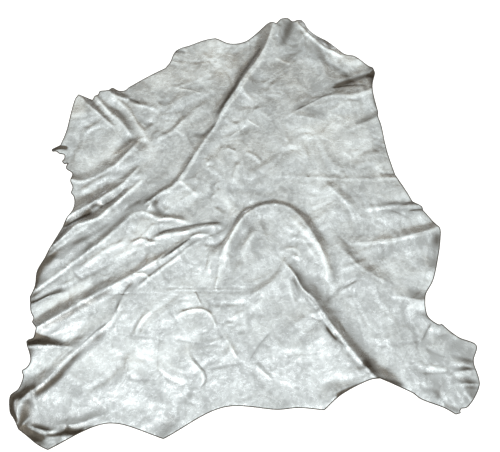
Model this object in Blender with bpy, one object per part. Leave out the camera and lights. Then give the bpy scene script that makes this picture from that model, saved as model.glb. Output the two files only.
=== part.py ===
"""Leather hide: one small whole skin, spread flesh side down on a flat surface.

The skin is a single sheet of even thickness. Its cut outline keeps the neck at the top (+Y), the
two hind legs at the lower corners and the short fore leg on the left. It was folded for storage
and has relaxed, so it lies flat over most of its area and stands up in soft ridges that run out
to the edge. Lengths are in millimetres until the mesh is made, +X is to the right, +Y towards
the neck, +Z up. The origin is the middle of the hide's bounding box, on the surface it lies on.
"""

import math
from typing import NamedTuple

import bpy
import numpy as np
from mathutils import Vector
from mathutils.geometry import delaunay_2d_cdt

METRES = 0.001

THICKNESS = 1.2

# Where the flesh side would lift by less than this, it lies flat on the surface.
FLAT_LIFT = 0.4

# Spacing of the mesh points, from the fine cut edge to the flat field.
EDGE_STEP = 9.0
CREST_STEP = 10.0
FLANK_STEP = 14.0
FOOT_STEP = 18.0
FIELD_STEP = 18.0
CROWDING = 0.55

# How strongly overlapping ridges stay apart: 1 adds their heights, a large value takes the higher.
RIDGE_BLEND = 4.0
PATH_STEP = 5.0
SPAN_SAMPLES = 16
SHARP_ANGLE = 50

# The strip in front of a crest that its lip falls across, and the power of that slope.
LIP_WIDTH = 6.0
LIP_CURVE = 1.3

# The cut edge, clockwise. Each stretch starts at a corner, runs through its points as a smooth
# curve, and ends at the first point of the next stretch.
EDGE = {
    "crown left": ((-170, 330), (-161, 344), (-150, 370), (-120, 383), (-88, 395)),
    "crown": ((-70, 398), (-40, 386), (-8, 392), (40, 431)),
    "crown point": ((54, 428), (63, 438), (77, 442), (88, 434), (97, 437)),
    "rolled edge": ((105, 439), (112, 432), (117, 420), (130, 406), (140, 400), (155, 393)),
    "right shoulder": ((183, 368), (192, 361), (212, 357), (240, 335), (247, 332)),
    "right notch": ((252, 320), (244, 285)),
    "right side": ((253, 233), (252, 225), (258, 203), (267, 150)),
    "right belly": ((280, 100),),
    "belly point": ((309, 48), (326, 36)),
    "right bay": (
        (327, 30), (350, 2), (357, -8), (338, -102), (320, -136), (323, -171), (343, -186),
    ),
    "right leg": ((346, -184), (374, -208), (406, -223), (398, -252), (405, -292), (380, -331)),
    "right leg tip": ((370, -333), (367, -337), (368, -340)),
    "right leg underside": ((359, -343), (340, -332), (300, -317), (285, -306)),
    "right rump": ((229, -282), (213, -284), (160, -310)),
    "rump": ((130, -336), (85, -332), (50, -335), (-45, -331)),
    "left rump": ((-149, -384), (-228, -359), (-262, -361)),
    "left leg underside": ((-347, -402), (-362, -395)),
    "left leg tip": ((-400, -368), (-410, -350), (-418, -340), (-421, -311)),
    "left leg": ((-415, -305), (-408, -300), (-401, -277), (-404, -268), (-396, -262), (-390, -250)),
    "left hock": ((-400, -217), (-397, -213), (-389, -210)),
    "left stifle": ((-385, -198), (-384, -193), (-393, -181), (-391, -175), (-397, -163)),
    "left flank": (
        (-401, -136), (-394, -118), (-392, -88), (-380, -65), (-345, 10), (-333, 32), (-334, 55),
    ),
    "left side": ((-341, 65), (-338, 75), (-343, 88), (-341, 104), (-354, 115)),
    "torn tab": (
        (-352, 125), (-358, 124), (-363, 130), (-359, 136), (-360, 143), (-369, 145), (-376, 150),
        (-383, 150), (-385, 154),
    ),
    "fore leg": ((-368, 163), (-359, 190), (-346, 262)),
    "fore leg top": ((-340, 271),),
    "left shoulder": (
        (-312, 260), (-308, 267), (-301, 271), (-299, 277), (-280, 280), (-274, 286), (-262, 281),
        (-248, 282), (-240, 289),
    ),
}


class Fold(NamedTuple):
    """A ridge. Heights and widths are given at even stations along its crest, from -X to +X.

    back is the width of the face towards +Y, on the left of that direction, and front the other.
    lip is how much of the height falls away in a narrow strip in front of the crest.
    """

    crest: tuple
    height: tuple
    back: tuple
    front: tuple
    lip: float


FOLDS = {
    "neck": Fold(
        crest=((-196, 44), (-180, 57), (-165, 68), (-148, 78), (-137, 91), (-127, 106), (-118, 124),
               (-104, 146), (-90, 168), (-80, 186), (-66, 206), (-58, 224), (-49, 246), (-26, 281),
               (-8, 315), (13, 343), (30, 373), (42, 405), (52, 440)),
        height=(1.5, 2.4, 2.4, 2, 2.2, 4, 4.4, 5, 6, 7, 8),
        back=(8, 9, 10, 13, 20, 18, 20, 26, 30), front=(16, 20, 30, 40, 50, 50), lip=1.2,
    ),
    "crown roll": Fold(
        crest=((88, 454), (100, 430), (116, 409), (133, 392), (153, 375), (169, 366), (192, 353)),
        height=(5, 6, 6.6, 6.6, 4.6, 0), back=(20, 18, 16), front=(60,), lip=1.2,
    ),
    "right shoulder": Fold(
        crest=((60, 216), (83, 230), (100, 241), (127, 256), (148, 266), (170, 270), (190, 270), (210, 272),
               (230, 277), (262, 292)),
        height=(0, 0.7, 1, 1.5, 2.6, 3.8, 4.8, 5.2), back=(6, 8, 12, 22, 38, 42), front=(35, 40, 44, 48, 44),
        lip=1.2,
    ),
    "shoulder dimple": Fold(
        crest=((66, 230), (95, 225), (118, 221), (148, 216)),
        height=(0, 2.1, 2.1, 0), back=(14, 16), front=(31, 35), lip=0.4,
    ),
    "right side": Fold(
        crest=((180, 188), (204, 200), (222, 209), (240, 218), (264, 229)),
        height=(0, 0.6, 1.6, 3.2), back=(12,), front=(40, 48), lip=1.2,
    ),
    "right midline": Fold(
        crest=((34, 97), (65, 100), (100, 98), (150, 95), (200, 93), (250, 95), (292, 96)),
        height=(0, 0.6, 0.8, 0.6, 0.8, 1.8), back=(9,), front=(60, 60, 57), lip=1.2,
    ),
    "belly point": Fold(
        crest=((206, 30), (236, 35), (262, 38), (290, 39), (342, 41)),
        height=(0, 0.8, 1.8, 3.6, 4.6), back=(8, 9), front=(35, 44), lip=1.2,
    ),
    "right belly": Fold(
        crest=((150, -37), (198, -34), (230, -31), (254, -28), (276, -25), (296, -20), (320, -15), (345, -7),
               (368, 2)),
        height=(0, 0.6, 1.2, 2.4, 4.2, 4.9, 4.9), back=(10, 14), front=(31, 53), lip=1.2,
    ),
    "right back": Fold(
        crest=((138, 92), (155, 74), (172, 58), (186, 42), (196, 22), (200, 6)),
        height=(0, 2.8, 3.5, 2.8, 0), back=(18,), front=(60,), lip=0.6,
    ),
    "right loin": Fold(
        crest=((148, -22), (165, -40), (182, -58), (200, -76), (222, -92), (246, -106), (268, -116)),
        height=(0, 2.2, 3, 2.6, 0), back=(22,), front=(50,), lip=0.4,
    ),
    "right bay": Fold(
        crest=((250, -132), (275, -135), (296, -140), (332, -146)),
        height=(0, 2.1, 4.2, 4.9), back=(16, 26), front=(44, 57), lip=0.6,
    ),
    "haunch": Fold(
        crest=((54, -58), (67, -76), (76, -87), (84, -98), (90, -109), (96, -121), (101, -126),
               (110, -132), (118, -142), (125, -152), (137, -171), (147, -187), (157, -201), (167, -213),
               (173, -221), (182, -234), (192, -247), (202, -258), (212, -269), (223, -281), (238, -296)),
        height=(0, 3.5, 4.5, 5.5, 5.5, 5.5, 6, 7, 8, 9), back=(9, 13, 18, 20, 18, 16, 18, 24, 34),
        front=(14, 20, 34, 60, 80, 80), lip=1.2,
    ),
    "belly arch": Fold(
        crest=((-60, -76), (-56, -62), (-51, -48), (-45, -38), (-39, -27), (-31, -13), (-23, 1), (-14, 14),
               (-4, 25), (8, 33), (22, 39), (38, 42), (54, 42), (70, 38), (84, 29), (96, 17), (106, 2),
               (116, -14), (126, -31), (134, -50), (139, -70), (141, -90), (140, -108)),
        height=(0, 2, 3.4, 4.4, 4.8, 4, 3, 2.2, 2.6, 4, 4.8, 4.6, 3.6, 2.4, 0),
        back=(10, 12, 13, 13, 9, 10, 16, 19, 18, 16), front=(20, 22, 26, 36, 50, 50, 40), lip=1.2,
    ),
    "right rump lift": Fold(
        crest=((140, -322), (158, -303), (180, -293), (204, -288)),
        height=(4.2, 6.3, 5.6, 2.1), back=(30, 26), front=(35,), lip=0.6,
    ),
    "left back": Fold(
        crest=((-186, -30), (-168, -20), (-152, -15), (-133, -13), (-113, -10), (-96, -4), (-80, -1),
               (-58, -1), (-46, -6)),
        height=(0, 1.8, 2, 1.8, 1.4, 1.2, 1.4, 0), back=(9, 12), front=(18, 26), lip=0.8,
    ),
    "saddle crease": Fold(
        crest=((-186, 6), (-168, 13), (-152, 15), (-134, 10), (-113, 3)),
        height=(0, 2, 2.2, 0), back=(14,), front=(26,), lip=0.9,
    ),
    "upper loin": Fold(
        crest=((-214, -94), (-185, -76), (-162, -64), (-140, -50), (-118, -33), (-104, -20),
               (-74, -17)),
        height=(0, 2.8, 3.5, 3.5, 2.1, 0), back=(12,), front=(18,), lip=1.2,
    ),
    "lower loin": Fold(
        crest=((-214, -124), (-190, -104), (-166, -85), (-144, -68), (-120, -48), (-100, -33),
               (-82, -27)),
        height=(0, 2.1, 2.8, 2.8, 2.1, 0), back=(8,), front=(40,), lip=1.2,
    ),
    "left thigh": Fold(
        crest=((-404, -206), (-385, -194), (-350, -171), (-325, -156), (-300, -142), (-278, -128),
               (-258, -117), (-236, -107), (-214, -93), (-192, -78), (-172, -66), (-146, -48)),
        height=(6, 6, 5.4, 4.6, 4, 3.6, 3, 0), back=(16, 15, 14, 12), front=(22, 18, 22, 35),
        lip=1.2,
    ),
    "long left": Fold(
        crest=((-416, -142), (-405, -133), (-388, -119), (-366, -103), (-335, -78), (-311, -58),
               (-289, -41), (-271, -27), (-245, -1), (-224, 20), (-208, 30)),
        height=(3.5, 3.5, 3.4, 3.4, 3.4, 3, 0), back=(46, 40, 30, 22, 18, 12), front=(30, 40, 40, 20),
        lip=1.2,
    ),
    "left flank roll": Fold(
        crest=((-390, -66), (-372, -47), (-355, -32), (-340, -17), (-325, -2), (-309, 6), (-292, 12),
               (-277, 22), (-264, 35), (-250, 48), (-236, 62), (-222, 76), (-208, 94)),
        height=(6, 9, 9, 7, 4.5, 3.5, 2.5, 0), back=(22, 24, 24, 16, 10), front=(60, 60, 40, 20), lip=1.2,
    ),
    "left rib": Fold(
        crest=((-350, 8), (-338, 18), (-324, 27), (-306, 39), (-290, 49), (-271, 61), (-252, 75),
               (-238, 87), (-226, 101), (-217, 113), (-209, 126)),
        height=(8, 8, 7.5, 6, 5, 4, 2.5, 0), back=(30, 28, 24, 20, 16), front=(16, 16, 16, 20), lip=1.2,
    ),
    "left shoulder blade": Fold(
        crest=((-352, 94), (-325, 88), (-300, 96), (-278, 109), (-258, 122), (-246, 134), (-233, 148),
               (-221, 164), (-212, 182)),
        height=(3.5, 2.2, 2.4, 3.4, 4.8, 4.8, 0), back=(14, 20, 24, 26, 20), front=(26, 40, 40), lip=1.2,
    ),
    "fore leg inner": Fold(
        crest=((-298, 290), (-284, 281), (-275, 275), (-264, 268), (-250, 264), (-236, 260)),
        height=(6, 5.2, 4.6, 0), back=(18, 16, 14), front=(33,), lip=1.2,
    ),
    "fore leg outer": Fold(
        crest=((-344, 276), (-320, 250), (-303, 236), (-289, 223), (-277, 211), (-258, 194)),
        height=(3.5, 4.4, 3.6, 0), back=(15, 14), front=(60, 57), lip=1.2,
    ),
    "fore leg middle": Fold(
        crest=((-310, 272), (-292, 251), (-276, 233), (-260, 219), (-247, 205), (-238, 192), (-226, 176)),
        height=(3.4, 3, 3.4, 3.6, 3, 0), back=(14, 18, 18, 14), front=(14,), lip=1.2,
    ),
    "shoulder seam": Fold(
        crest=((-244, 258), (-222, 249), (-200, 244), (-176, 232)),
        height=(0, 2.1, 1.4, 0), back=(12,), front=(31,), lip=1.1,
    ),
    "withers": Fold(
        crest=((-190, 172), (-170, 181), (-150, 194), (-132, 216), (-116, 234)),
        height=(0, 1.3, 1.5, 0), back=(10,), front=(40,), lip=0.6,
    ),
    "left hock": Fold(
        crest=((-420, -228), (-398, -225), (-375, -223), (-350, -223), (-325, -226), (-302, -228)),
        height=(6.3, 5.6, 4.4, 2.6, 0), back=(22, 14, 9), front=(60, 60), lip=1.2,
    ),
    "left shank": Fold(
        crest=((-401, -376), (-404, -350), (-403, -330), (-396, -313), (-382, -301), (-366, -291),
               (-352, -278), (-338, -262), (-324, -246), (-308, -232), (-294, -218), (-278, -202),
               (-262, -190), (-248, -176), (-238, -154), (-230, -130), (-214, -108)),
        height=(5, 5, 4.5, 4, 3.4, 3, 2.6, 2, 0), back=(16, 22, 28, 26, 20), front=(40, 29, 24, 24),
        lip=1.2,
    ),
    "left foot": Fold(
        crest=((-412, -376), (-390, -385), (-368, -389), (-350, -382)),
        height=(5.6, 6.3, 4.9, 0), back=(16,), front=(31,), lip=0.6,
    ),
    "left toe": Fold(
        crest=((-384, -361), (-364, -368), (-346, -371), (-328, -366)),
        height=(0, 2.8, 2.8, 0), back=(8,), front=(57,), lip=1.2,
    ),
    "left heel": Fold(
        crest=((-346, -381), (-322, -378), (-300, -378), (-276, -372)),
        height=(0, 4.2, 6.3, 5.6), back=(14, 16), front=(31,), lip=0.6,
    ),
    "left foot crease": Fold(
        crest=((-340, -360), (-315, -360), (-290, -356), (-268, -347), (-246, -340)),
        height=(0, 2.8, 2.8, 0), back=(11,), front=(22,), lip=1.2,
    ),
}


def smooth_curve(points, step):
    """Points about a step apart on a centripetal Catmull-Rom curve through the given points."""
    knots = np.array(points, float)
    if len(knots) == 2:
        count = max(1, round(np.linalg.norm(knots[1] - knots[0]) / step))
        share = np.linspace(0, 1, count + 1)[:, None]
        return knots[0] * (1 - share) + knots[1] * share
    padded = np.vstack([2 * knots[0] - knots[1], knots, 2 * knots[-1] - knots[-2]])
    fine = []
    for first, start, end, last in zip(padded, padded[1:], padded[2:], padded[3:]):
        t1 = math.sqrt(np.linalg.norm(start - first))
        t2 = t1 + math.sqrt(np.linalg.norm(end - start))
        t3 = t2 + math.sqrt(np.linalg.norm(last - end))
        t = np.linspace(t1, t2, SPAN_SAMPLES, endpoint=False)[:, None]
        near = (t1 - t) / t1 * first + t / t1 * start
        middle = (t2 - t) / (t2 - t1) * start + (t - t1) / (t2 - t1) * end
        far = (t3 - t) / (t3 - t2) * end + (t - t2) / (t3 - t2) * last
        before = (t2 - t) / t2 * near + t / t2 * middle
        after = (t3 - t) / (t3 - t1) * middle + (t - t1) / (t3 - t1) * far
        fine.append((t2 - t) / (t2 - t1) * before + (t - t1) / (t2 - t1) * after)
    fine = np.vstack([*fine, knots[-1:]])
    run = np.concatenate([[0], np.cumsum(np.linalg.norm(np.diff(fine, axis=0), axis=1))])
    stops = np.linspace(0, run[-1], max(1, round(run[-1] / step)) + 1)
    return np.column_stack([np.interp(stops, run, fine[:, axis]) for axis in (0, 1)])


def cut_edge():
    """The closed cut edge, as points about EDGE_STEP apart, with the corners kept."""
    stretches = list(EDGE.values())
    loop = []
    for stretch, following in zip(stretches, stretches[1:] + stretches[:1]):
        loop.append(smooth_curve([*stretch, following[0]], EDGE_STEP)[:-1])
    return np.vstack(loop)


def along(values, share):
    """A fold's value at a share of its length, eased between its even stations."""
    if len(values) == 1:
        return np.full_like(share, values[0])
    position = np.clip(share, 0, 1) * (len(values) - 1)
    station = np.minimum(position.astype(int), len(values) - 2)
    part = position - station
    part = part * part * (3 - 2 * part)
    values = np.array(values, float)
    return values[station] * (1 - part) + values[station + 1] * part


def nearest_on_path(points, path):
    """For each point: its distance to the path, its share along it, and which side it is on."""
    starts, spans = path[:-1], np.diff(path, axis=0)
    lengths = np.linalg.norm(spans, axis=1)
    run = np.concatenate([[0], np.cumsum(lengths)])
    offset = points[:, None, :] - starts
    part = np.clip((offset * spans).sum(2) / lengths**2, 0, 1)
    gap = offset - part[..., None] * spans
    distance = np.linalg.norm(gap, axis=2)
    best = distance.argmin(1)
    row = np.arange(len(points))
    share = (run[best] + part[row, best] * lengths[best]) / run[-1]
    side = spans[best, 0] * gap[row, best, 1] - spans[best, 1] * gap[row, best, 0]
    return distance[row, best], share, side > 0


def ridge_height(points, fold):
    """The lift that one fold gives to each point."""
    path = smooth_curve(fold.crest, PATH_STEP)
    distance, share, behind = nearest_on_path(points, path)
    height = along(fold.height, share)
    lip = np.minimum(fold.lip, height)
    strip = np.clip(distance / LIP_WIDTH, 0, 1)
    u = np.clip(distance / along(fold.back, share), 0, 1)
    v = np.clip(distance / along(fold.front, share), 0, 1)
    back = height * ((1 - u) ** 2 + (1 - u * u) ** 2) / 2
    front = lip * (1 - strip) ** LIP_CURVE + (height - lip) * (1 - v * v) ** 2
    return np.where(behind, back, front)


def grain_height(points):
    """Height of the grain side over the surface: the thickness, plus the ridges."""
    lifts = np.array([ridge_height(points, fold) for fold in FOLDS.values()])
    return THICKNESS + (lifts**RIDGE_BLEND).sum(0) ** (1 / RIDGE_BLEND)


def fold_rows():
    """Point rows along every fold, as (spacing, points): its crest, both flanks, both feet."""
    rows = []
    for place, step in ((0.0, CREST_STEP), (0.45, FLANK_STEP), (1.0, FOOT_STEP)):
        for fold in FOLDS.values():
            path = smooth_curve(fold.crest, step)
            heading = np.gradient(path, axis=0)
            heading /= np.linalg.norm(heading, axis=1)[:, None]
            left = np.column_stack([-heading[:, 1], heading[:, 0]])
            share = np.linspace(0, 1, len(path))
            if not place:
                rows.append((step, path))
                continue
            rows.append((step, path + left * (along(fold.back, share) * place)[:, None]))
            rows.append((step, path - left * (along(fold.front, share) * place)[:, None]))
    return rows


def field_grid(edge):
    """A staggered grid of points over the hide's box."""
    low, high = edge.min(0), edge.max(0)
    rows = []
    for index, y in enumerate(np.arange(low[1], high[1], FIELD_STEP * math.sqrt(0.75))):
        x = np.arange(low[0] + (index % 2) * FIELD_STEP / 2, high[0], FIELD_STEP)
        rows.append(np.column_stack([x, np.full_like(x, y)]))
    return np.vstack(rows)


def inside(points, edge):
    """Which points lie within the edge, by counting crossings of a line to +X."""
    found = np.zeros(len(points), bool)
    for (x1, y1), (x2, y2) in zip(edge, np.roll(edge, -1, axis=0)):
        if y1 == y2:
            continue
        spans = (y1 > points[:, 1]) != (y2 > points[:, 1])
        found ^= spans & (points[:, 0] < x1 + (points[:, 1] - y1) * (x2 - x1) / (y2 - y1))
    return found


def sheet_points(edge):
    """The mesh's plan points: the edge first, then fold rows and field where there is room."""
    kept = edge
    for step, row in [*fold_rows(), (FIELD_STEP, field_grid(edge))]:
        for point in row[inside(row, edge)]:
            if np.hypot(*(kept - point).T).min() > step * CROWDING:
                kept = np.vstack([kept, point])
    return kept


def triangulate(points, edge_count):
    """Triangles between the plan points, counter-clockwise, within the edge."""
    ring = list(range(edge_count))[::-1]
    joined = delaunay_2d_cdt([Vector(p) for p in points.tolist()], [], [ring], 1, 1e-5)
    plan, triangles = joined[0], joined[2]
    return np.array([tuple(point) for point in plan]), [list(face) for face in triangles]


def vertex_normals(vertices, triangles):
    """The outward direction at each vertex, from the triangles round it."""
    corners = vertices[np.array(triangles)]
    faces = np.cross(corners[:, 1] - corners[:, 0], corners[:, 2] - corners[:, 0])
    normals = np.zeros_like(vertices)
    for corner in range(3):
        np.add.at(normals, np.array(triangles)[:, corner], faces)
    return normals / np.linalg.norm(normals, axis=1)[:, None]


def edge_loop(triangles):
    """The sheet's rim, as directed pairs of vertices that one triangle alone uses."""
    used = {(a, b) for face in triangles for a, b in zip(face, face[1:] + face[:1])}
    return [(a, b) for a, b in used if (b, a) not in used]


def hide_mesh():
    """The closed sheet: grain side, flesh side THICKNESS below it, and the cut edge between."""
    edge = cut_edge()
    plan, triangles = triangulate(sheet_points(edge), len(edge))
    grain = np.column_stack([plan, grain_height(plan)])
    flesh = grain - THICKNESS * vertex_normals(grain, triangles)
    lowest = flesh[:, 2].min()
    flesh[flesh[:, 2] < lowest + FLAT_LIFT, 2] = lowest
    vertices = np.vstack([grain, flesh])
    middle = (vertices.min(0) + vertices.max(0)) / 2
    vertices[:, :2] -= middle[:2]
    vertices[:, 2] -= vertices[:, 2].min()

    count = len(plan)
    faces = [*triangles, *([a + count, c + count, b + count] for a, b, c in triangles)]
    for a, b in sorted(edge_loop(triangles)):
        faces.append([b, a, a + count, b + count])
    mesh = bpy.data.meshes.new("hide")
    mesh.from_pydata((vertices * METRES).tolist(), [], faces)
    mesh.update()
    return mesh


def silver_leather():
    """Silver foil finish on the grain side of the leather."""
    material = bpy.data.materials.new("silver leather")
    material.use_nodes = True
    shader = material.node_tree.nodes["Principled BSDF"]
    shader.inputs["Base Color"].default_value = (0.56, 0.56, 0.54, 1.0)
    shader.inputs["Metallic"].default_value = 0.6
    shader.inputs["Roughness"].default_value = 0.45
    return material


def main():
    """Clear the scene and put the finished hide in it."""
    for existing in list(bpy.data.objects):
        bpy.data.objects.remove(existing)
    mesh = hide_mesh()
    mesh.materials.append(silver_leather())
    mesh.shade_smooth()
    mesh.set_sharp_from_angle(angle=math.radians(SHARP_ANGLE))
    bpy.context.scene.collection.objects.link(bpy.data.objects.new("hide", mesh))


if __name__ == "__main__":
    main()
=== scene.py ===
"""Looks of the leather hide: one small whole skin, spread grain side up on a pale floor.

The hide is a single sheet. Its fine mesh is raised over the solid's cut line and folds, with the
small creases and a slight waviness added. Painted light and shade lie on the grain as a tone:
paler crest lines, darker creases and broad patches of painted light and shade. The grain side
has a silver foil finish, the flesh side is suede, and the cut edge is raw; its dark colour also
runs round the grain in a narrow band, partly painted shade along the edge. Tables are in
millimetres, +X to the right, +Y towards the neck. The mesh is made in metres and centred on its
own box, as the solid is.
"""

import logging
import math
from dataclasses import dataclass
from enum import IntEnum

import bpy
import numpy as np
from bpy.types import Material, Mesh, Node, NodeSocket, NodeTree, Object
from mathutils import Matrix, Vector
from mathutils.geometry import delaunay_2d_cdt
from mathutils.kdtree import KDTree


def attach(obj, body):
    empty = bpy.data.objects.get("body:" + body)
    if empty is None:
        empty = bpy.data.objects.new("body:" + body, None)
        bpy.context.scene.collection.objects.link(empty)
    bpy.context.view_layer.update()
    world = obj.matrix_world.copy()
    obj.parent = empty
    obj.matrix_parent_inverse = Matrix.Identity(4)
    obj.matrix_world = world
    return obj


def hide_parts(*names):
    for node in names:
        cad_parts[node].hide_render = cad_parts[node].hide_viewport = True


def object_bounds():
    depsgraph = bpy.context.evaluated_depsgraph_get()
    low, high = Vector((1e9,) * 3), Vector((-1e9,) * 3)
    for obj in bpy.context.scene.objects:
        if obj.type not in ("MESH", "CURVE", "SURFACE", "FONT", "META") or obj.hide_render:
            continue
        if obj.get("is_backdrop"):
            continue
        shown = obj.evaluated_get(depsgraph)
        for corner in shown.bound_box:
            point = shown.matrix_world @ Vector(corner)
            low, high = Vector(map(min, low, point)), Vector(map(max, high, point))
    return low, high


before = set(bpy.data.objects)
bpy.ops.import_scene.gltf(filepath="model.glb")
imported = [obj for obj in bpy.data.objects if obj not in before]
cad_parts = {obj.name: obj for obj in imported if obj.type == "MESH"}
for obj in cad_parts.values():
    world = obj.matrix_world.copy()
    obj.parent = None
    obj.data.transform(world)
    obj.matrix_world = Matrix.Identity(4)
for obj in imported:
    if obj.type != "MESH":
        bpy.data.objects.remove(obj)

LOG = logging.getLogger("hide")
METRES = 0.001
NODE = "hide"
BODY = "root"
# The mesh attribute that carries the grain's painted light and shade.
TONE = "tone"

Point = tuple[float, float]
Triple = tuple[float, float, float]
Box = tuple[Vector, Vector]
Path = tuple[Point, ...]
Stations = tuple[float, ...]
Colour = tuple[float, float, float, float]

# The cut line, clockwise. Each stretch starts at a corner, runs through its points as a smooth
# curve, and ends at the first point of the next stretch.
CUT_LINE: dict[str, Path] = {
    "crown left": ((-170, 330), (-161, 344), (-150, 370), (-120, 383), (-88, 395)),
    "crown": ((-70, 398), (-40, 386), (-8, 392), (40, 431)),
    "crown point": ((54, 428), (63, 438), (77, 442), (88, 434), (97, 437)),
    "rolled edge": ((105, 439), (112, 432), (117, 420), (130, 406), (140, 400), (155, 393)),
    "right shoulder": ((183, 368), (192, 361), (212, 357), (240, 335), (247, 332)),
    "right notch": ((252, 320), (244, 285)),
    "right side": ((253, 233), (252, 225), (258, 203), (267, 150)),
    "right belly": ((280, 100),),
    "belly point": ((309, 48), (326, 36)),
    "right bay": (
        (327, 30), (350, 2), (357, -8), (338, -102), (320, -136), (323, -171), (343, -186),
    ),
    "right leg": ((346, -184), (374, -208), (406, -223), (398, -252), (405, -292), (380, -331)),
    "right leg tip": ((370, -333), (367, -337), (368, -340)),
    "right leg underside": ((359, -343), (340, -332), (300, -317), (285, -306)),
    "right rump": ((229, -282), (213, -284), (160, -310)),
    "rump": ((130, -336), (85, -332), (50, -335), (-45, -331)),
    "left rump": ((-149, -384), (-228, -359), (-262, -361)),
    "left leg underside": ((-347, -402), (-362, -395)),
    "left leg tip": ((-400, -368), (-410, -350), (-418, -340), (-421, -311)),
    "left leg": ((-415, -305), (-408, -300), (-401, -277), (-404, -268), (-396, -262), (-390, -250)),
    "left hock": ((-400, -217), (-397, -213), (-389, -210)),
    "left stifle": ((-385, -198), (-384, -193), (-393, -181), (-391, -175), (-397, -163)),
    "left flank": (
        (-401, -136), (-394, -118), (-392, -88), (-380, -65), (-345, 10), (-333, 32), (-334, 55),
    ),
    "left side": ((-341, 65), (-338, 75), (-343, 88), (-341, 104), (-354, 115)),
    "torn tab": (
        (-352, 125), (-358, 124), (-363, 130), (-359, 136), (-360, 143), (-369, 145), (-376, 150),
        (-383, 150), (-385, 154),
    ),
    "fore leg": ((-368, 163), (-359, 190), (-346, 262)),
    "fore leg top": ((-340, 271),),
    "left shoulder": (
        (-312, 260), (-308, 267), (-301, 271), (-299, 277), (-280, 280), (-274, 286), (-262, 281),
        (-248, 282), (-240, 289),
    ),
}


class Side(IntEnum):
    """The three surfaces of the sheet, as material slots of its mesh."""

    GRAIN = 0
    FLESH = 1
    CUT = 2


def smooth_curve(points: Path, step: float, pieces: int = 16) -> np.ndarray:
    """Points on a centripetal Catmull-Rom curve.

    Args:
        points: The points that the curve runs through.
        step: The wanted spacing along the curve.
        pieces: How many straight pieces stand in for each of its spans while it is measured.

    Returns:
        An array of evenly spaced points, both ends among them.
    """
    knots = np.array(points, float)
    if len(knots) == 2:
        count = max(1, round(float(np.linalg.norm(knots[1] - knots[0])) / step))
        share = np.linspace(0, 1, count + 1)[:, None]
        return knots[0] * (1 - share) + knots[1] * share
    padded = np.vstack([2 * knots[0] - knots[1], knots, 2 * knots[-1] - knots[-2]])
    fine = []
    for first, start, end, last in zip(padded, padded[1:], padded[2:], padded[3:]):
        t1 = math.sqrt(np.linalg.norm(start - first))
        t2 = t1 + math.sqrt(np.linalg.norm(end - start))
        t3 = t2 + math.sqrt(np.linalg.norm(last - end))
        t = np.linspace(t1, t2, pieces, endpoint=False)[:, None]
        near = (t1 - t) / t1 * first + t / t1 * start
        middle = (t2 - t) / (t2 - t1) * start + (t - t1) / (t2 - t1) * end
        far = (t3 - t) / (t3 - t2) * end + (t - t2) / (t3 - t2) * last
        before = (t2 - t) / t2 * near + t / t2 * middle
        after = (t3 - t) / (t3 - t1) * middle + (t - t1) / (t3 - t1) * far
        fine.append((t2 - t) / (t2 - t1) * before + (t - t1) / (t2 - t1) * after)
    fine = np.vstack([*fine, knots[-1:]])
    run = np.concatenate([[0], np.cumsum(np.linalg.norm(np.diff(fine, axis=0), axis=1))])
    stops = np.linspace(0, run[-1], max(1, round(run[-1] / step)) + 1)
    return np.column_stack([np.interp(stops, run, fine[:, axis]) for axis in (0, 1)])


def eased(part: np.ndarray) -> np.ndarray:
    """A share from 0 to 1, with soft ends."""
    part = np.clip(part, 0, 1)
    return part * part * (3 - 2 * part)


def along(values: Stations, share: np.ndarray) -> np.ndarray:
    """A value at shares of a length.

    Args:
        values: The value at even stations from start to end.
        share: Where to read it, from 0 to 1.

    Returns:
        The value at each share, eased between stations.
    """
    if len(values) == 1:
        return np.full_like(share, values[0])
    position = np.clip(share, 0, 1) * (len(values) - 1)
    station = np.minimum(position.astype(int), len(values) - 2)
    part = eased(position - station)
    table = np.array(values, float)
    return table[station] * (1 - part) + table[station + 1] * part


def inside(points: np.ndarray, loop: np.ndarray) -> np.ndarray:
    """Which points lie within a closed loop, by counting crossings of a line to +X.

    Args:
        points: The points, one a row.
        loop: The corners of the loop in order.

    Returns:
        True for each point within the loop.
    """
    found = np.zeros(len(points), bool)
    for (x1, y1), (x2, y2) in zip(loop, np.roll(loop, -1, axis=0)):
        if y1 == y2:
            continue
        spans = (y1 > points[:, 1]) != (y2 > points[:, 1])
        found ^= spans & (points[:, 0] < x1 + (points[:, 1] - y1) * (x2 - x1) / (y2 - y1))
    return found


@dataclass(frozen=True)
class Nearest:
    """Where points lie beside a path: distance, share of its length, and which side.

    The path is measured in straight steps of PATH_STEP. BLUR is how near two of them have to
    be for both to count.
    """

    PATH_STEP = 3.0
    BLUR = 1.5

    distance: np.ndarray
    share: np.ndarray
    behind: np.ndarray

    @classmethod
    def on(cls, points: np.ndarray, crest: Path) -> "Nearest":
        """Measure points against a crest.

        Args:
            points: The points, one a row.
            crest: The points that the crest runs through.

        Returns:
            The measures. The share is averaged over stretches that are about as near, so that
            it has no jump on the inside of a bend.
        """
        path = smooth_curve(crest, cls.PATH_STEP)
        starts, spans = path[:-1], np.diff(path, axis=0)
        lengths = np.linalg.norm(spans, axis=1)
        run = np.concatenate([[0], np.cumsum(lengths)])
        offset = points[:, None, :] - starts
        part = np.clip((offset * spans).sum(2) / lengths**2, 0, 1)
        gap = offset - part[..., None] * spans
        distance = np.linalg.norm(gap, axis=2)
        best = distance.argmin(1)
        row = np.arange(len(points))
        nearest = distance[row, best]
        weight = np.exp((nearest[:, None] - distance) / cls.BLUR)
        share = (weight * (run[:-1] + part * lengths)).sum(1) / weight.sum(1) / run[-1]
        side = spans[best, 0] * gap[row, best, 1] - spans[best, 1] * gap[row, best, 0]
        return cls(nearest, share, side > 0)


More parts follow.
